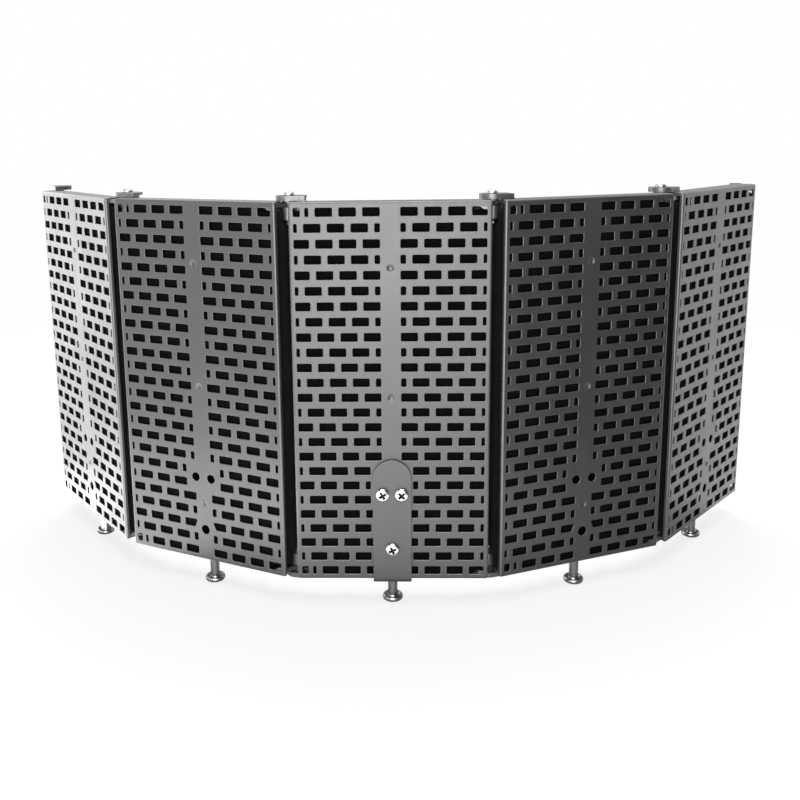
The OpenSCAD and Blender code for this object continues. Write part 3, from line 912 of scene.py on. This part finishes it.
def surface_nets(field, origin, cell):
    """Vertices and quads on the zero level of field, a grid that is negative inside."""
    cells = tuple(np.array(field.shape) - 1)
    total, count = np.zeros(cells + (3,)), np.zeros(cells, np.int32)
    grid = np.indices(field.shape).astype(float)
    crossings = []
    for axis in range(3):
        near, far = [slice(None)] * 3, [slice(None)] * 3
        near[axis], far[axis] = slice(0, -1), slice(1, None)
        near = tuple(near)
        a, b = field[near], field[tuple(far)]
        cross = (a < 0) != (b < 0)
        t = np.where(cross, a / np.where(a == b, 1, a - b), 0)
        position = [grid[k][near] + (t if k == axis else 0) for k in range(3)]
        others = [k for k in range(3) if k != axis]
        for d0 in (0, 1):
            for d1 in (0, 1):
                window = [slice(None)] * 3
                window[others[0]] = slice(d0, d0 + cells[others[0]])
                window[others[1]] = slice(d1, d1 + cells[others[1]])
                window = tuple(window)
                mask = cross[window]
                count += mask
                for k in range(3):
                    total[..., k] += np.where(mask, position[k][window], 0)
        crossings.append((axis, others, cross, a < 0))
    index = -np.ones(cells, np.int64)
    used = count > 0
    index[used] = np.arange(used.sum())
    verts = total[used] / count[used][:, None] * cell + np.array(origin)
    faces = []
    for axis, (o0, o1), cross, negative in crossings:
        points = np.argwhere(cross)
        inside = ((points[:, o0] > 0) & (points[:, o1] > 0)
                  & (points[:, o0] < cells[o0]) & (points[:, o1] < cells[o1]))
        points = points[inside]
        quad = []
        for d0, d1 in ((-1, -1), (0, -1), (0, 0), (-1, 0)):
            corner = points.copy()
            corner[:, o0] += d0
            corner[:, o1] += d1
            quad.append(index[corner[:, 0], corner[:, 1], corner[:, 2]])
        quad = np.stack(quad, 1)
        flip = negative[points[:, 0], points[:, 1], points[:, 2]]
        if axis == 1:
            flip = ~flip
        quad[~flip] = quad[~flip][:, ::-1]
        faces.append(quad)
    return verts, np.concatenate(faces)


def smooth_max(a, b, blend):
    return np.maximum(a, b) + np.maximum(blend - np.abs(a - b), 0) ** 2 / (4 * blend)


def pad_back(x, z):
    """y of the rear face: rows of soft pyramids."""
    dx = np.sqrt(((x + PYRAMID_X * 3) % PYRAMID_X - PYRAMID_X / 2) ** 2 + 1.5 ** 2)
    dz = np.sqrt(((z + PYRAMID_Z * 6) % PYRAMID_Z - PYRAMID_Z / 2) ** 2 + 1.5 ** 2)
    distance = (dx ** 7 + dz ** 7) ** (1 / 7) / (PYRAMID_X / 2)
    peaks = 25.0 + 12.6 * (1 - distance)
    return smooth_max(peaks, np.full_like(peaks, PAD_BACK), 2.2)


def pad_half_width(y):
    t = np.clip((y - 3.5) / 0.8, 0, 1)
    widening = np.clip((y - PAD_STEP_Y) / (PIVOT_Y - PAD_STEP_Y), 0, None)
    wide = (PAD_HALF + PAD_STEP * t * t * (3 - 2 * t)
            + widening * (PAD_WIDEST - (PAD_HALF + PAD_STEP)))
    slope = PAD_WIDEST - (y - PIVOT_Y) * (PIVOT_X - PAD_REAR_HALF) / (PAD_REAR_Y - PIVOT_Y)
    return np.minimum(wide, slope)


def pad_cuts(x, y, z):
    """Fields of the volumes cut out of the pad, negative inside each."""
    from_end = HALF_HEIGHT - np.abs(z - MID_Z)
    from_side = np.abs(x)
    cuts = [
        # shallow recesses at the four corners
        [62.7 - from_side, y - HINGE_ROOM_Y, from_end - 7.4],
        # room for the hinge parts at -x
        [x + 68.7, 13.7 - y, y - HINGE_ROOM_Y, from_end - HINGE_ROOM_DEPTH],
        # about the pivots
        [np.hypot(from_side - PIVOT_X, y - PIVOT_Y) - 7.4, from_end - HINGE_ROOM_DEPTH],
    ]
    for hole_x, height, _, radius, _ in BRACKET_SCREWS:
        cuts.append([np.hypot(x - hole_x, z - BOTTOM - height) - radius, y - 13.8])
    # about the foot's stem
    cuts.append([np.hypot(x, y - FOOT_Y) - 8.9, z - 46.0])
    return [np.maximum.reduce(fields) for fields in cuts]


def build_pad():
    axes = [PAD_ORIGIN[k] + PAD_CELL * np.arange(int(math.ceil(PAD_EXTENT[k] / PAD_CELL)) + 1)
            for k in range(3)]
    x, y, z = np.meshgrid(*axes, indexing="ij")
    field = smooth_max(y - pad_back(x, z - MID_Z), PAD_FRONT - y, 1.2)
    field = smooth_max(field, (np.abs(x) - pad_half_width(y)) * 0.85, 1.6)
    field = smooth_max(field, np.abs(z - MID_Z) - (HALF_HEIGHT - SHEET - 0.6), 1.6)
    for cut in pad_cuts(x, y, z):
        field = smooth_max(field, -cut, 1.0)
    verts, faces = surface_nets(field, PAD_ORIGIN, PAD_CELL)
    mesh = bpy.data.meshes.new("pad")
    mesh.from_pydata(verts.tolist(), [], faces.tolist())
    bm = bmesh.new()
    bm.from_mesh(mesh)
    bmesh.ops.recalc_face_normals(bm, faces=bm.faces)
    for vert in bm.verts:               # uneven skin
        point = vert.co
        coarse = noise.noise(point * 0.16) * 0.22
        fine = noise.noise(point * 0.55 + Vector((9, 4, 2))) * 0.16
        vert.co = point + vert.normal * (coarse + fine - 0.15)
    bm.to_mesh(mesh)
    bm.free()
    mesh.polygons.foreach_set("use_smooth", np.ones(len(mesh.polygons), bool))
    return mesh


# ------------------------------------------------------------------ the hinges
PLATE_RADIUS = 9.8
PLATE_TOP = HALF_HEIGHT + 4.1
PLATE_END = -64                         # inner end of a plate
BORE = 2.5                              # radius of the pivot holes
BARREL_RADIUS, BARREL_HEIGHT = 6, 9.7
BARREL_LOW = HALF_HEIGHT - 14.5
LEAF = 1.6                              # thickness of the leaf under the flange at -x
EYE = 3.2                               # thickness of the eye's leaf at +x
EYE_LOW = FLANGE_INSIDE - EYE
CAP_SCREW = (-69.5, 11.0)
RIVET = (69.5, 9.0)


def build_hinge_plates():
    """Thick plate at -x, round about the pivot, stepped underneath, with a bored hole."""
    x0, radius = -PIVOT_X, PLATE_RADIUS
    low = HALF_HEIGHT + 0.3
    a = math.radians(58.4)              # where the upper layer's rear edge leaves the round
    full = fillet([(PLATE_END, 9.2), (PLATE_END, 17.3), (x0, 17.3), (x0, PIVOT_Y - radius)],
                  [0.8, 0.8, 0, 0], 3)
    upper = fillet([(PLATE_END, 15), (PLATE_END, 22.5),
                    (x0 + radius * math.cos(a), PIVOT_Y + radius * math.sin(a)),
                    (x0, PIVOT_Y), (x0, 15)], [0, 0.8, 0, 0, 0], 3)
    foot = rectangle(-70, PLATE_END, 9.2, 17.3)
    mesh = combine(cylinder(x0, PIVOT_Y, radius, low, PLATE_TOP, 72), [
        ("UNION", extrude(full, low, PLATE_TOP)),
        ("UNION", extrude(upper, HALF_HEIGHT + 2.2, PLATE_TOP)),
        ("UNION", extrude(foot, HALF_HEIGHT, HALF_HEIGHT + 1.0)),
        ("DIFFERENCE", cylinder(x0, PIVOT_Y, BORE, HALF_HEIGHT - 1, HALF_HEIGHT + 8, 40)),
    ])
    return both_ends(from_mesh(soften(mesh, width=0.5, segments=3)), "hinge_plates")


def build_hinge_barrels():
    """Barrel at -x, joined by a web to a leaf against the flange."""
    x0, low, high = -PIVOT_X, BARREL_LOW, BARREL_LOW + BARREL_HEIGHT
    leaf = fillet(rectangle(-75.1, -64.5, 1.5, 16.5), [0.6, 1.2, 1.2, 0.6], 3)
    mesh = combine(cylinder(x0, PIVOT_Y, BARREL_RADIUS, low, high, 56), [
        ("UNION", extrude(rectangle(x0 + 2, -69.5, 15.5, 22.0), low, high)),
        ("UNION", extrude(rectangle(-71.9, -69.5, 14.7, 22.0), low, FLANGE_INSIDE)),
        ("UNION", extrude(leaf, FLANGE_INSIDE - LEAF, FLANGE_INSIDE)),
        ("DIFFERENCE", cylinder(x0, PIVOT_Y, BORE, low - 1, FLANGE_INSIDE, 40)),
        ("DIFFERENCE", cylinder(x0, PIVOT_Y, BARREL_RADIUS - 0.15, high, low + 16, 56)),
    ])
    return both_ends(from_mesh(soften(mesh, width=0.4, segments=3)), "hinge_barrels")


def eye_tab():
    """Small tab behind the front sheet."""
    top, mid, low = EYE_LOW + 0.6, FLANGE_INSIDE - 3.4, FLANGE_INSIDE - 5.2
    profile = [(67.4, top), (67.4, mid), (69.8, low), (75.1, low), (75.1, top)]   # x, z
    tab = Builder()
    front = tab.ring([(x, 1.3, z) for x, z in profile])
    back = tab.ring([(x, 2.6, z) for x, z in profile])
    tab.band(front, back)
    tab.face(front)
    tab.face(back[::-1])
    return tab


def build_hinge_eyes():
    """Eye about the pivot at +x, on an arm from a leaf against the flange."""
    along = Vector((PIVOT_X - 70, PIVOT_Y - 9))
    across = Vector((-along.y, along.x)).normalized() * 4.6
    arm = [(70 - across.x, 9 - across.y), (PIVOT_X - across.x, PIVOT_Y - across.y),
           (PIVOT_X + across.x, PIVOT_Y + across.y), (70 + across.x, 9 + across.y)]
    leaf = fillet(rectangle(64.5, 75.1, 1.3, 15.5), [0.8, 0.4, 0.8, 1.2], 3)
    mesh = combine(cylinder(PIVOT_X, PIVOT_Y, 5.5, EYE_LOW, FLANGE_INSIDE + 1.3, 56), [
        ("UNION", extrude(arm, EYE_LOW, FLANGE_INSIDE)),
        ("UNION", extrude(leaf, EYE_LOW, FLANGE_INSIDE - 0.02)),
        ("UNION", eye_tab()),
        ("DIFFERENCE",
         cylinder(PIVOT_X, PIVOT_Y, BORE, FLANGE_INSIDE - 6, FLANGE_INSIDE + 4, 40)),
    ])
    return both_ends(from_mesh(soften(mesh, width=0.3, segments=2)), "hinge_eyes")


def cross_cutters(width, length, depth, top, turn):
    """Two tapered wings of a cross recess, cut downwards from height top."""
    # height, width and length of each section
    sections = [(top + 1.5, width * 1.12, length * 1.06),
                (top - depth * 0.55, width * 0.9, length * 0.8),
                (top - depth, width * 0.5, length * 0.34)]
    wings = []
    for a in (0, math.pi / 2):
        wing = Builder()
        ca, sa = math.cos(a + turn), math.sin(a + turn)
        rings = []
        for height, w, l in sections:
            outline = rectangle(-l / 2, l / 2, -w / 2, w / 2)
            turned = [(x * ca - y * sa, x * sa + y * ca) for x, y in outline]
            rings.append(wing.ring(level(turned, height)))
        wing.bands(rings)
        wing.face(rings[0])
        wing.face(rings[-1][::-1])
        wings.append(wing)
    return wings


def pan_head(radius, height, recess, turn):
    """Pan head standing on height 0; recess is the cross's width, length and depth."""
    profile = [(0, 0), (radius - 0.25, 0), (radius - 0.05, 0.18), (radius, 0.45)]
    # shares of the radius and of the height
    profile += [(radius * r, height * h) for r, h in [
        (1, 0.36), (0.985, 0.5), (0.94, 0.64), (0.85, 0.78), (0.72, 0.89), (0.54, 0.96),
        (0.3, 0.995), (0, 1)]]
    head = Builder()
    lathe(head, profile, 64)
    cutters = cross_cutters(*recess, top=height, turn=turn)
    mesh = combine(head, [("DIFFERENCE", cutter) for cutter in cutters])
    mesh = soften(mesh, width=0.1, segments=2, angle=48)
    values = edge_values(mesh)
    radii, heights = zip(*reversed(profile[1:]))
    for i, vert in enumerate(mesh.vertices):
        r = math.hypot(vert.co.x, vert.co.y)
        surface = float(np.interp(r, radii, heights))
        # the cross recess gets the edge value -1, which the materials paint near black as shade
        if r < recess[1] * 0.56 and 0.05 < vert.co.z < surface - 0.16:
            values[i] = -1.0            # down in the cross
    mesh.attributes["edge"].data.foreach_set("value", values)
    return from_mesh(mesh)


def build_pivot_screws():
    radius, joint = 2.43, HALF_HEIGHT - 9.5   # the thread begins below the joint
    builder = Builder()
    head = pan_head(radius=4.4, height=2.6, recess=(1.15, 5.2, 1.7), turn=0.35)
    builder.add(head, at(-PIVOT_X, PIVOT_Y, PLATE_TOP))
    shank = Builder()
    high = PLATE_TOP + 0.3
    profile = round_profile([(0, joint), (radius, joint), (radius, high), (0, high)], 0.15, 2)
    lathe(shank, profile, 40, at(-PIVOT_X, PIVOT_Y))
    thread(shank, radius, depth=0.32, pitch=0.8, z0=HALF_HEIGHT - 17.6, z1=HALF_HEIGHT - 9.4,
           segments=32, steps_per_turn=7, fade=0.6, x=-PIVOT_X, y=PIVOT_Y)
    builder.add(shank)
    return both_ends(builder, "pivot_screws")


def add_cap_screw(builder):
    """Socket cap screw hanging under the leaf at -x."""
    x0, y0 = CAP_SCREW
    high, low = FLANGE_INSIDE - LEAF, FLANGE_INSIDE - 5.8
    segments = 48
    # radius and z down the shank and the head
    profile = [(1.95, high + 3), (1.95, high), (3.15, high), (3.35, high - 0.2),
               (3.4, high - 0.5), (3.4, low + 0.6), (3.3, low + 0.25), (3.05, low + 0.05),
               (2.8, low), (2.3, low)]
    rings = [builder.ring(level(circle(x0, y0, radius, segments), z)) for radius, z in profile]
    for radius, z in ((1.85, low + 0.25), (1.75, low + 2.3)):   # hexagon socket
        outline = []
        for k in range(segments):
            a = TAU * k / segments
            r = hex_radius(radius * math.cos(math.pi / 6), a)
            outline.append((x0 + r * math.cos(a), y0 + r * math.sin(a)))
        rings.append(builder.ring(level(outline, z)))
    shank_end = builder.ring([(x0, y0, high + 3)])
    builder.band(shank_end * segments, rings[0])
    builder.bands(rings)
    socket_end = builder.ring([(x0, y0, low + 2.7)])
    builder.band(rings[-1], socket_end * segments)


def add_rivet(builder):
    """Domed rivet through the flange at +x."""
    low, high = EYE_LOW, HALF_HEIGHT
    profile = [
        (0, low - 1.25), (1.4, low - 1.15), (2.4, low - 0.85), (3.0, low - 0.45),
        (3.25, low - 0.12), (3.2, low), (1.9, low), (1.9, high - 0.05), (2.35, high),
        (2.3, high + 0.12), (1.9, high + 0.22), (1.0, high + 0.27), (0, high + 0.28)]
    lathe(builder, profile, 40, at(*RIVET))


def build_hinge_fasteners():
    builder = Builder()
    add_cap_screw(builder)
    add_rivet(builder)
    return both_ends(builder, "hinge_fasteners")


# ------------------------------------------------------------------ feet
# radius and height from the middle of the underside, over the rim and into the stem's collar
FOOT_BASE = [
    (0, 0.35), (2.5, 0.35), (3.0, 0.0), (6.4, 0.0), (7.1, 0.12), (7.7, 0.5), (8.1, 1.1),
    (8.3, 1.95), (8.24, 2.7), (7.95, 3.35), (7.5, 3.85), (6.9, 4.08), (6.35, 3.98),
    (5.95, 3.55), (5.7, 2.95), (5.35, 2.62), (4.95, 2.62), (4.62, 2.95), (4.4, 3.5),
    (4.25, 4.1), (4.05, 4.45), (3.86, 4.55), (3.86, 3.0), (0, 3.0)]
NUT_FLATS = 10.0                        # width across flats of all nuts


def build_foot_stem():
    builder = Builder()
    high = BOTTOM - 0.06
    profile = [(0, 2.25), (3.6, 2.25), (3.6, 4.0), (3.88, 4.5), (3.88, high), (0, high)]
    lathe(builder, round_profile(profile, 0.3, 3), 64, at(0, FOOT_Y))
    thread(builder, radius=2.98, depth=0.38, pitch=1.0, z0=BOTTOM - 0.8, z1=STEM_TOP,
           segments=40, steps_per_turn=8, fade=0.9, y=FOOT_Y)
    return builder.mesh("foot_stem", crease=50)


def build_foot_base():
    builder = Builder()
    edges = [0.6 if 6 <= i < 13 else 0.0 for i in range(len(FOOT_BASE))]
    lathe(builder, FOOT_BASE, 72, at(0, FOOT_Y), edges)
    return builder.mesh("foot_base", crease=60)


def nut(builder, low, high, bore, pitch, place):
    """Hexagon nut with chamfered corners and a ribbed bore."""
    segments, flat = 60, NUT_FLATS / 2
    cone = flat * 0.97                  # radius at which the chamfer begins
    hexagon = [hex_radius(flat, TAU * k / segments) for k in range(segments)]

    def ring(radii, heights, edge=0.0):
        points = []
        for k, (radius, height) in enumerate(zip(radii, heights)):
            a = TAU * k / segments
            points.append(place(radius * math.cos(a), radius * math.sin(a), height))
        return builder.ring(points, edge)

    def round_ring(radius, height):
        return ring([radius] * segments, [height] * segments)

    drops = [max(0.02, (r - cone) * math.tan(math.radians(30))) for r in hexagon]
    rings = [
        round_ring(bore + 0.45, low),
        round_ring(cone, low),
        ring(hexagon, [low + drop for drop in drops], 0.6),
        ring(hexagon, [high - drop for drop in drops], 0.6),
        round_ring(cone, high),
        round_ring(bore + 0.45, high),
        round_ring(bore, high - 0.45),
    ]
    for n, (a, b) in enumerate(zip(rings, rings[1:])):
        builder.band(a, b, flat=n in (0, 4))
    length = high - low - 0.9
    steps = int(length / pitch) * 2
    last = rings[-1]
    for k in range(steps):
        following = round_ring(bore + (0.35 if k % 2 == 0 else 0.0),
                               high - 0.45 - length * (k + 1) / steps)
        builder.band(last, following)
        last = following
    builder.band(last, rings[0])


def build_foot_nut():
    builder = Builder()
    low = BOTTOM + SHEET
    nut(builder, low, low + 5.0, bore=3.03, pitch=1.0, place=at(0, FOOT_Y))
    return builder.mesh("foot_nut", crease=35)


# ------------------------------------------------------------------ the front bracket
BRACKET_WIDTH, BRACKET_SHEET = 30.5, 2.5
BRACKET_TOP = 101.2                     # above the panel's bottom
BRACKET_LEG = 22.0                      # y of the leg's rear end
LEG_Z = BOTTOM - 0.2                    # upper face of the leg
BEND_IN = 1.5
BEND_OUT = BEND_IN + BRACKET_SHEET
BRACKET_HOLE, BRACKET_FOOT_HOLE = 3.2, 4.4
# unrolled length: from the leg's end to the bend, round the bend, and z above the bend
LEG_STRAIGHT = BRACKET_LEG - (-BRACKET_SHEET + BEND_OUT)
BEND_LENGTH = math.pi / 2 * (BEND_IN + BEND_OUT) / 2
BEND_TOP_Z = LEG_Z - BRACKET_SHEET + BEND_OUT


def bracket_place(x, s, h):
    """Rolls up the strip: s is the unrolled length, h 0 on the inner face."""
    if s <= LEG_STRAIGHT:
        return (x, BRACKET_LEG - s, LEG_Z - h)
    if s < LEG_STRAIGHT + BEND_LENGTH:
        a = (s - LEG_STRAIGHT) / BEND_LENGTH * math.pi / 2
        r = BEND_IN + h
        return (x, (-BRACKET_SHEET + BEND_OUT) - r * math.sin(a), BEND_TOP_Z - r * math.cos(a))
    return (x, -h, BEND_TOP_Z + (s - LEG_STRAIGHT - BEND_LENGTH))


def build_bracket():
    """Round-topped strip in front of the panel, bent under it."""
    half = BRACKET_WIDTH / 2
    total = LEG_STRAIGHT + BEND_LENGTH + (BOTTOM + BRACKET_TOP - BEND_TOP_Z)
    dome_centre = total - half
    bend_steps, dome_steps = 8, 40
    stations = [LEG_STRAIGHT + BEND_LENGTH * k / bend_steps for k in range(bend_steps + 1)]
    right = [(half, s) for s in stations]
    left = [(-half, s) for s in reversed(stations)]
    dome = [(half * math.cos(math.pi * k / dome_steps),
             dome_centre + half * math.sin(math.pi * k / dome_steps))
            for k in range(dome_steps + 1)]
    leg_end = [(-half, 1.2), (-half + 0.35, 0.35), (-half + 1.2, 0),
               (half - 1.2, 0), (half - 0.35, 0.35), (half, 1.2)]
    # edges forced straight across the bend
    first_right = len(leg_end)
    first_left = first_right + len(right) + len(dome)
    pairs = [(first_right + k, first_left + bend_steps - k) for k in range(bend_steps + 1)]
    holes = [circle(x, LEG_STRAIGHT + BEND_LENGTH + (BOTTOM + height - BEND_TOP_Z),
                    BRACKET_HOLE, 36) for x, height, _, _, _ in BRACKET_SCREWS]
    holes.append(circle(0, BRACKET_LEG - FOOT_Y, BRACKET_FOOT_HOLE, 40))
    builder = Builder()
    plate(builder, leg_end + right + dome + left, 0.0, BRACKET_SHEET, holes, bracket_place,
          low_rim=0.2, rim=0.38, steps=3, pairs=pairs)
    return builder.mesh("front_bracket", crease=45)


def build_bracket_screws():
    builder = Builder()
    end = BRACKET_SHEET + 0.8
    for x, height, _, _, turn in BRACKET_SCREWS:
        z = BOTTOM + height
        head = pan_head(radius=5.55, height=3.5, recess=(2.1, 7.4, 2.6), turn=turn)
        builder.add(head, facing(x, z, -BRACKET_SHEET, -1))
        shank = Builder()
        profile = round_profile([(0, -0.3), (2.9, -0.3), (2.9, end), (0, end)], 0.2, 2)
        lathe(shank, profile, 40)
        thread(shank, radius=2.92, depth=0.35, pitch=1.0, z0=BRACKET_SHEET + 0.7,
               z1=BRACKET_SHEET + 7.2, segments=32, steps_per_turn=8, fade=0.8)
        builder.add(shank, facing(x, z, -BRACKET_SHEET))
    return builder.mesh("bracket_screws", crease=42)


WASHER_BACK = SHEET + 1.2


def build_bracket_washers():
    builder = Builder()
    for x, height, _, _, _ in BRACKET_SCREWS:
        plate(builder, circle(0, 0, 6.2, 48), SHEET, WASHER_BACK, [circle(0, 0, 3.2, 40)],
              facing(x, BOTTOM + height), low_rim=0.15, rim=0.15, steps=2)
    return builder.mesh("bracket_washers", crease=40)


def build_bracket_nuts():
    builder = Builder()
    for x, height, _, _, _ in BRACKET_SCREWS:
        nut(builder, WASHER_BACK, SHEET + 5.4, bore=2.95, pitch=0.9,
            place=facing(x, BOTTOM + height))
    return builder.mesh("bracket_nuts", crease=35)


# ------------------------------------------------------------------ put it together
def piece(name, mesh, panel, body, slot, node):
    ob = add_object(name, mesh)
    if not mesh.materials:
        mesh.materials.append(MATERIALS[slot])
    ob.matrix_world = PANEL[panel]
    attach(ob, body)
    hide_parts(node)
    return ob


# object, mesh, body, material slot and CAD node; the panel's name follows each but the slot
PANEL_PIECES = [
    ("perforated_shell_", build_shell(), "panel_", "powder_coat", "shell_"),
    ("foam_pad_", build_pad(), "panel_", "absorber_foam", "pad_"),
    ("hinge_plate_pair_", build_hinge_plates(), "panel_", "hinge_paint", "hinge_plates_"),
    ("hinge_barrel_pair_", build_hinge_barrels(), "panel_", "hinge_paint", "hinge_barrels_"),
    ("hinge_eye_pair_", build_hinge_eyes(), "panel_", "hinge_paint", "hinge_eyes_"),
    ("hinge_fastener_set_", build_hinge_fasteners(), "panel_", "hinge_paint",
     "hinge_fasteners_"),
    ("levelling_nut_", build_foot_nut(), "panel_", "zinc", "foot_nut_"),
    ("levelling_stem_", build_foot_stem(), "foot_", "foot_steel", "foot_stem_"),
    ("levelling_base_", build_foot_base(), "foot_", "foot_steel", "foot_base_"),
]
for index, panel in enumerate(NAMES, 1):
    for name, mesh, body, slot, node in PANEL_PIECES:
        ob = piece(name + panel, mesh, panel, body + panel, slot, node + panel)
        ob.pass_index = index           # shifts the textures

pivot_screws = build_pivot_screws()
for fold, owner in (("left_outer", "left"), ("left_inner", "centre"),
                    ("right_inner", "right"), ("right_outer", "far_right")):
    piece("pivot_screw_pair_" + fold, pivot_screws, owner, "panel_" + owner, "zinc",
          "pivot_screws_" + fold)

for name, build, slot, node in [
    ("accessory_bracket", build_bracket, "bracket_paint", "front_bracket"),
    ("accessory_bracket_screws", build_bracket_screws, "bright_zinc", "bracket_screws"),
    ("accessory_bracket_washers", build_bracket_washers, "zinc", "bracket_washers"),
    ("accessory_bracket_nuts", build_bracket_nuts, "zinc", "bracket_nuts"),
]:
    piece(name, build(), "centre", "panel_centre", slot, node)


# ------------------------------------------------------------------ floor, light, camera
# Metres in the row frame. Azimuth 0 is in front, 90 to the right, in degrees.
WHITE = (1, 1, 1)
AMBIENT = 0.2
LIGHT_TARGET = Vector((0, 0.03, 0.17))
# name, azimuth, elevation, distance, size, power
SOFTBOXES = [
    ("top", 10, 84, 1.9, (1.6, 1.6), 42),
    ("back_top", 176, 66, 1.7, (0.9, 0.6), 22),
    ("back_left", -150, 35, 2.0, (1.2, 1.0), 9),
    ("back_right", 140, 35, 2.0, (1.2, 1.0), 5),
]
CARD_START, CARD_END = 0.05, 0.95       # distances of the floor card's start and upright card
CARD_HEIGHT = 0.92
# panel, azimuth, radiance of the floor card and of the upright card, width, floor card's end
CARDS = [
    ("far_left", -118, 3.9, 6.4, 0.9, CARD_END),
    ("left", -59, 6.8, 3.4, 0.8, 0.28),
    ("centre", -4, 2.9, 14.8, 0.72, CARD_END),
    ("far_right", 114, 1.1, 1.75, 0.8, CARD_END),
]


def direction(azimuth, elevation=0.0):
    a, e = math.radians(azimuth), math.radians(elevation)
    return Vector((math.sin(a) * math.cos(e), -math.cos(a) * math.cos(e), math.sin(e)))


def panel_base(panel, z):
    base = PANEL[panel].translation.copy()
    base.z = z
    return base


def build_floor():
    """White disc that fades into the white backdrop; only the camera sees it glow."""
    mesh = bpy.data.meshes.new("floor")
    count = 96
    mesh.from_pydata(level(circle(0, 0, 9.0, count), -0.0003), [], [tuple(range(count))])
    ob = add_object("floor", mesh)
    material, graph, principled = new_material("floor")
    graph.feed(principled, {"Base Color": grey(0.86), "Roughness": 0.8,
                            "Specular IOR Level": 0.1})
    position = graph.node("NewGeometry").outputs["Position"]
    distance = graph.vector_maths("LENGTH", position).outputs["Value"]
    far = graph.node("MapRange", {0: distance, 1: 0.5, 2: 1.3},
                     interpolation_type="SMOOTHSTEP").outputs[0]
    glow = graph.node("Emission", {0: WHITE, 1: 1.0}).outputs[0]
    camera_ray = graph.node("LightPath").outputs["Is Camera Ray"]
    share = graph.maths("MULTIPLY", graph.maths("MAXIMUM", far, 0.8), camera_ray)
    surface = graph.mixed_shader(share, principled.outputs[0], glow)
    graph.feed(graph.output, {0: surface})
    mesh.materials.append(material)


def build_world():
    """White to the camera, dim white as a light."""
    world = bpy.data.worlds.new("studio")
    bpy.context.scene.world = world
    graph = NodeGraph(world, "OutputWorld")
    ambient, backdrop = (graph.node("Background", {0: WHITE, 1: strength}).outputs[0]
                         for strength in (AMBIENT, 1.0))
    camera_ray = graph.node("LightPath").outputs["Is Camera Ray"]
    graph.feed(graph.output, {0: graph.mixed_shader(camera_ray, ambient, backdrop)})


def area_light(name, size, power):
    light = bpy.data.lights.new(name, "AREA")
    light.shape = "RECTANGLE"
    light.size, light.size_y = size
    light.energy = power
    return add_object(name, light)


def softbox(name, azimuth, elevation, distance, size, power):
    """Area light aimed at the shield."""
    towards = direction(azimuth, elevation)
    ob = area_light(name, size, power)
    ob.location = LIGHT_TARGET + towards * distance
    ob.rotation_mode = "QUATERNION"
    ob.rotation_quaternion = (-towards).to_track_quat("-Z", "Y")


def card(name, place, axes, size, radiance):
    """Reflector seen only in gloss; axes are its x, y and z."""
    ob = area_light(name, size, radiance * math.pi * size[0] * size[1])
    ob.matrix_world = Matrix.Translation(place) @ Matrix(axes).transposed().to_4x4()
    ob.visible_diffuse = False
    ob.visible_camera = False


def card_pair(panel, azimuth, floor_radiance, upright_radiance, width, floor_end):
    """A card on the floor and an upright one, in the direction that the panel mirrors."""
    away = direction(azimuth)
    base = panel_base(panel, 0)
    up = Vector((0, 0, 1))
    card("floor_card_" + panel, base + away * (CARD_START + floor_end) / 2 + up * 0.004,
         (away.cross(-up), away, -up), (width * 0.75, floor_end - CARD_START), floor_radiance)
    card("upright_card_" + panel, base + away * CARD_END + up * CARD_HEIGHT / 2,
         (up.cross(away), up, away), (width, CARD_HEIGHT), upright_radiance)


def build_flag(panel, azimuth, start, end, width):
    """Black sheet over the floor that only glossy surfaces see; half as wide at its start."""
    away = direction(azimuth)
    side = Vector((-away.y, away.x, 0)) * (width / 2)
    base = panel_base(panel, 0.003)
    corners = [base + away * start - side * 0.5, base + away * start + side * 0.5,
               base + away * end + side, base + away * end - side]
    mesh = bpy.data.meshes.new("flag")
    mesh.from_pydata(corners, [], [(0, 1, 2, 3)])
    material, graph, principled = new_material("flag")
    graph.feed(principled, {"Base Color": grey(0.002), "Specular IOR Level": 0.0})
    mesh.materials.append(material)
    ob = add_object("flag", mesh)
    ob.visible_camera = ob.visible_diffuse = False
    ob.visible_transmission = ob.visible_shadow = False


def build_camera():
    """Camera in front of the centre panel, above the desk."""
    camera = bpy.data.cameras.new("camera")
    camera.sensor_fit = "HORIZONTAL"
    camera.sensor_width = 36.0
    camera.lens = 39.924
    camera.shift_x = 0.0394
    camera.shift_y = -0.12525
    camera.clip_start = 0.02
    camera.clip_end = 50
    ob = add_object("camera", camera)
    tilt_x, tilt_y, tilt_z = (Matrix.Rotation(math.radians(angle), 3, axis)
                              for angle, axis in ((10.4527, "X"), (1.5625, "Y"), (-0.3903, "Z")))
    # rows of the view matrix: right, down and forwards
    level_view = Matrix(((1, 0, 0), (0, 0, -1), (0, 1, 0)))
    right, down, forwards = tilt_z @ tilt_y @ tilt_x @ level_view
    matrix = Matrix((right, -down, -forwards)).transposed().to_4x4()
    matrix.translation = Vector((1.5295, -673.411, 373.488)) * MM
    ob.matrix_world = matrix
    bpy.context.scene.camera = ob


build_floor()
build_world()
for row in SOFTBOXES:
    softbox(*row)
for row in CARDS:
    card_pair(*row)
build_flag("right", azimuth=54, start=0.2, end=2.4, width=1.5)
build_camera()

view = bpy.context.scene.view_settings
view.view_transform = "Standard"
view.look = "None"
view.exposure = 0.0
view.gamma = 1.0
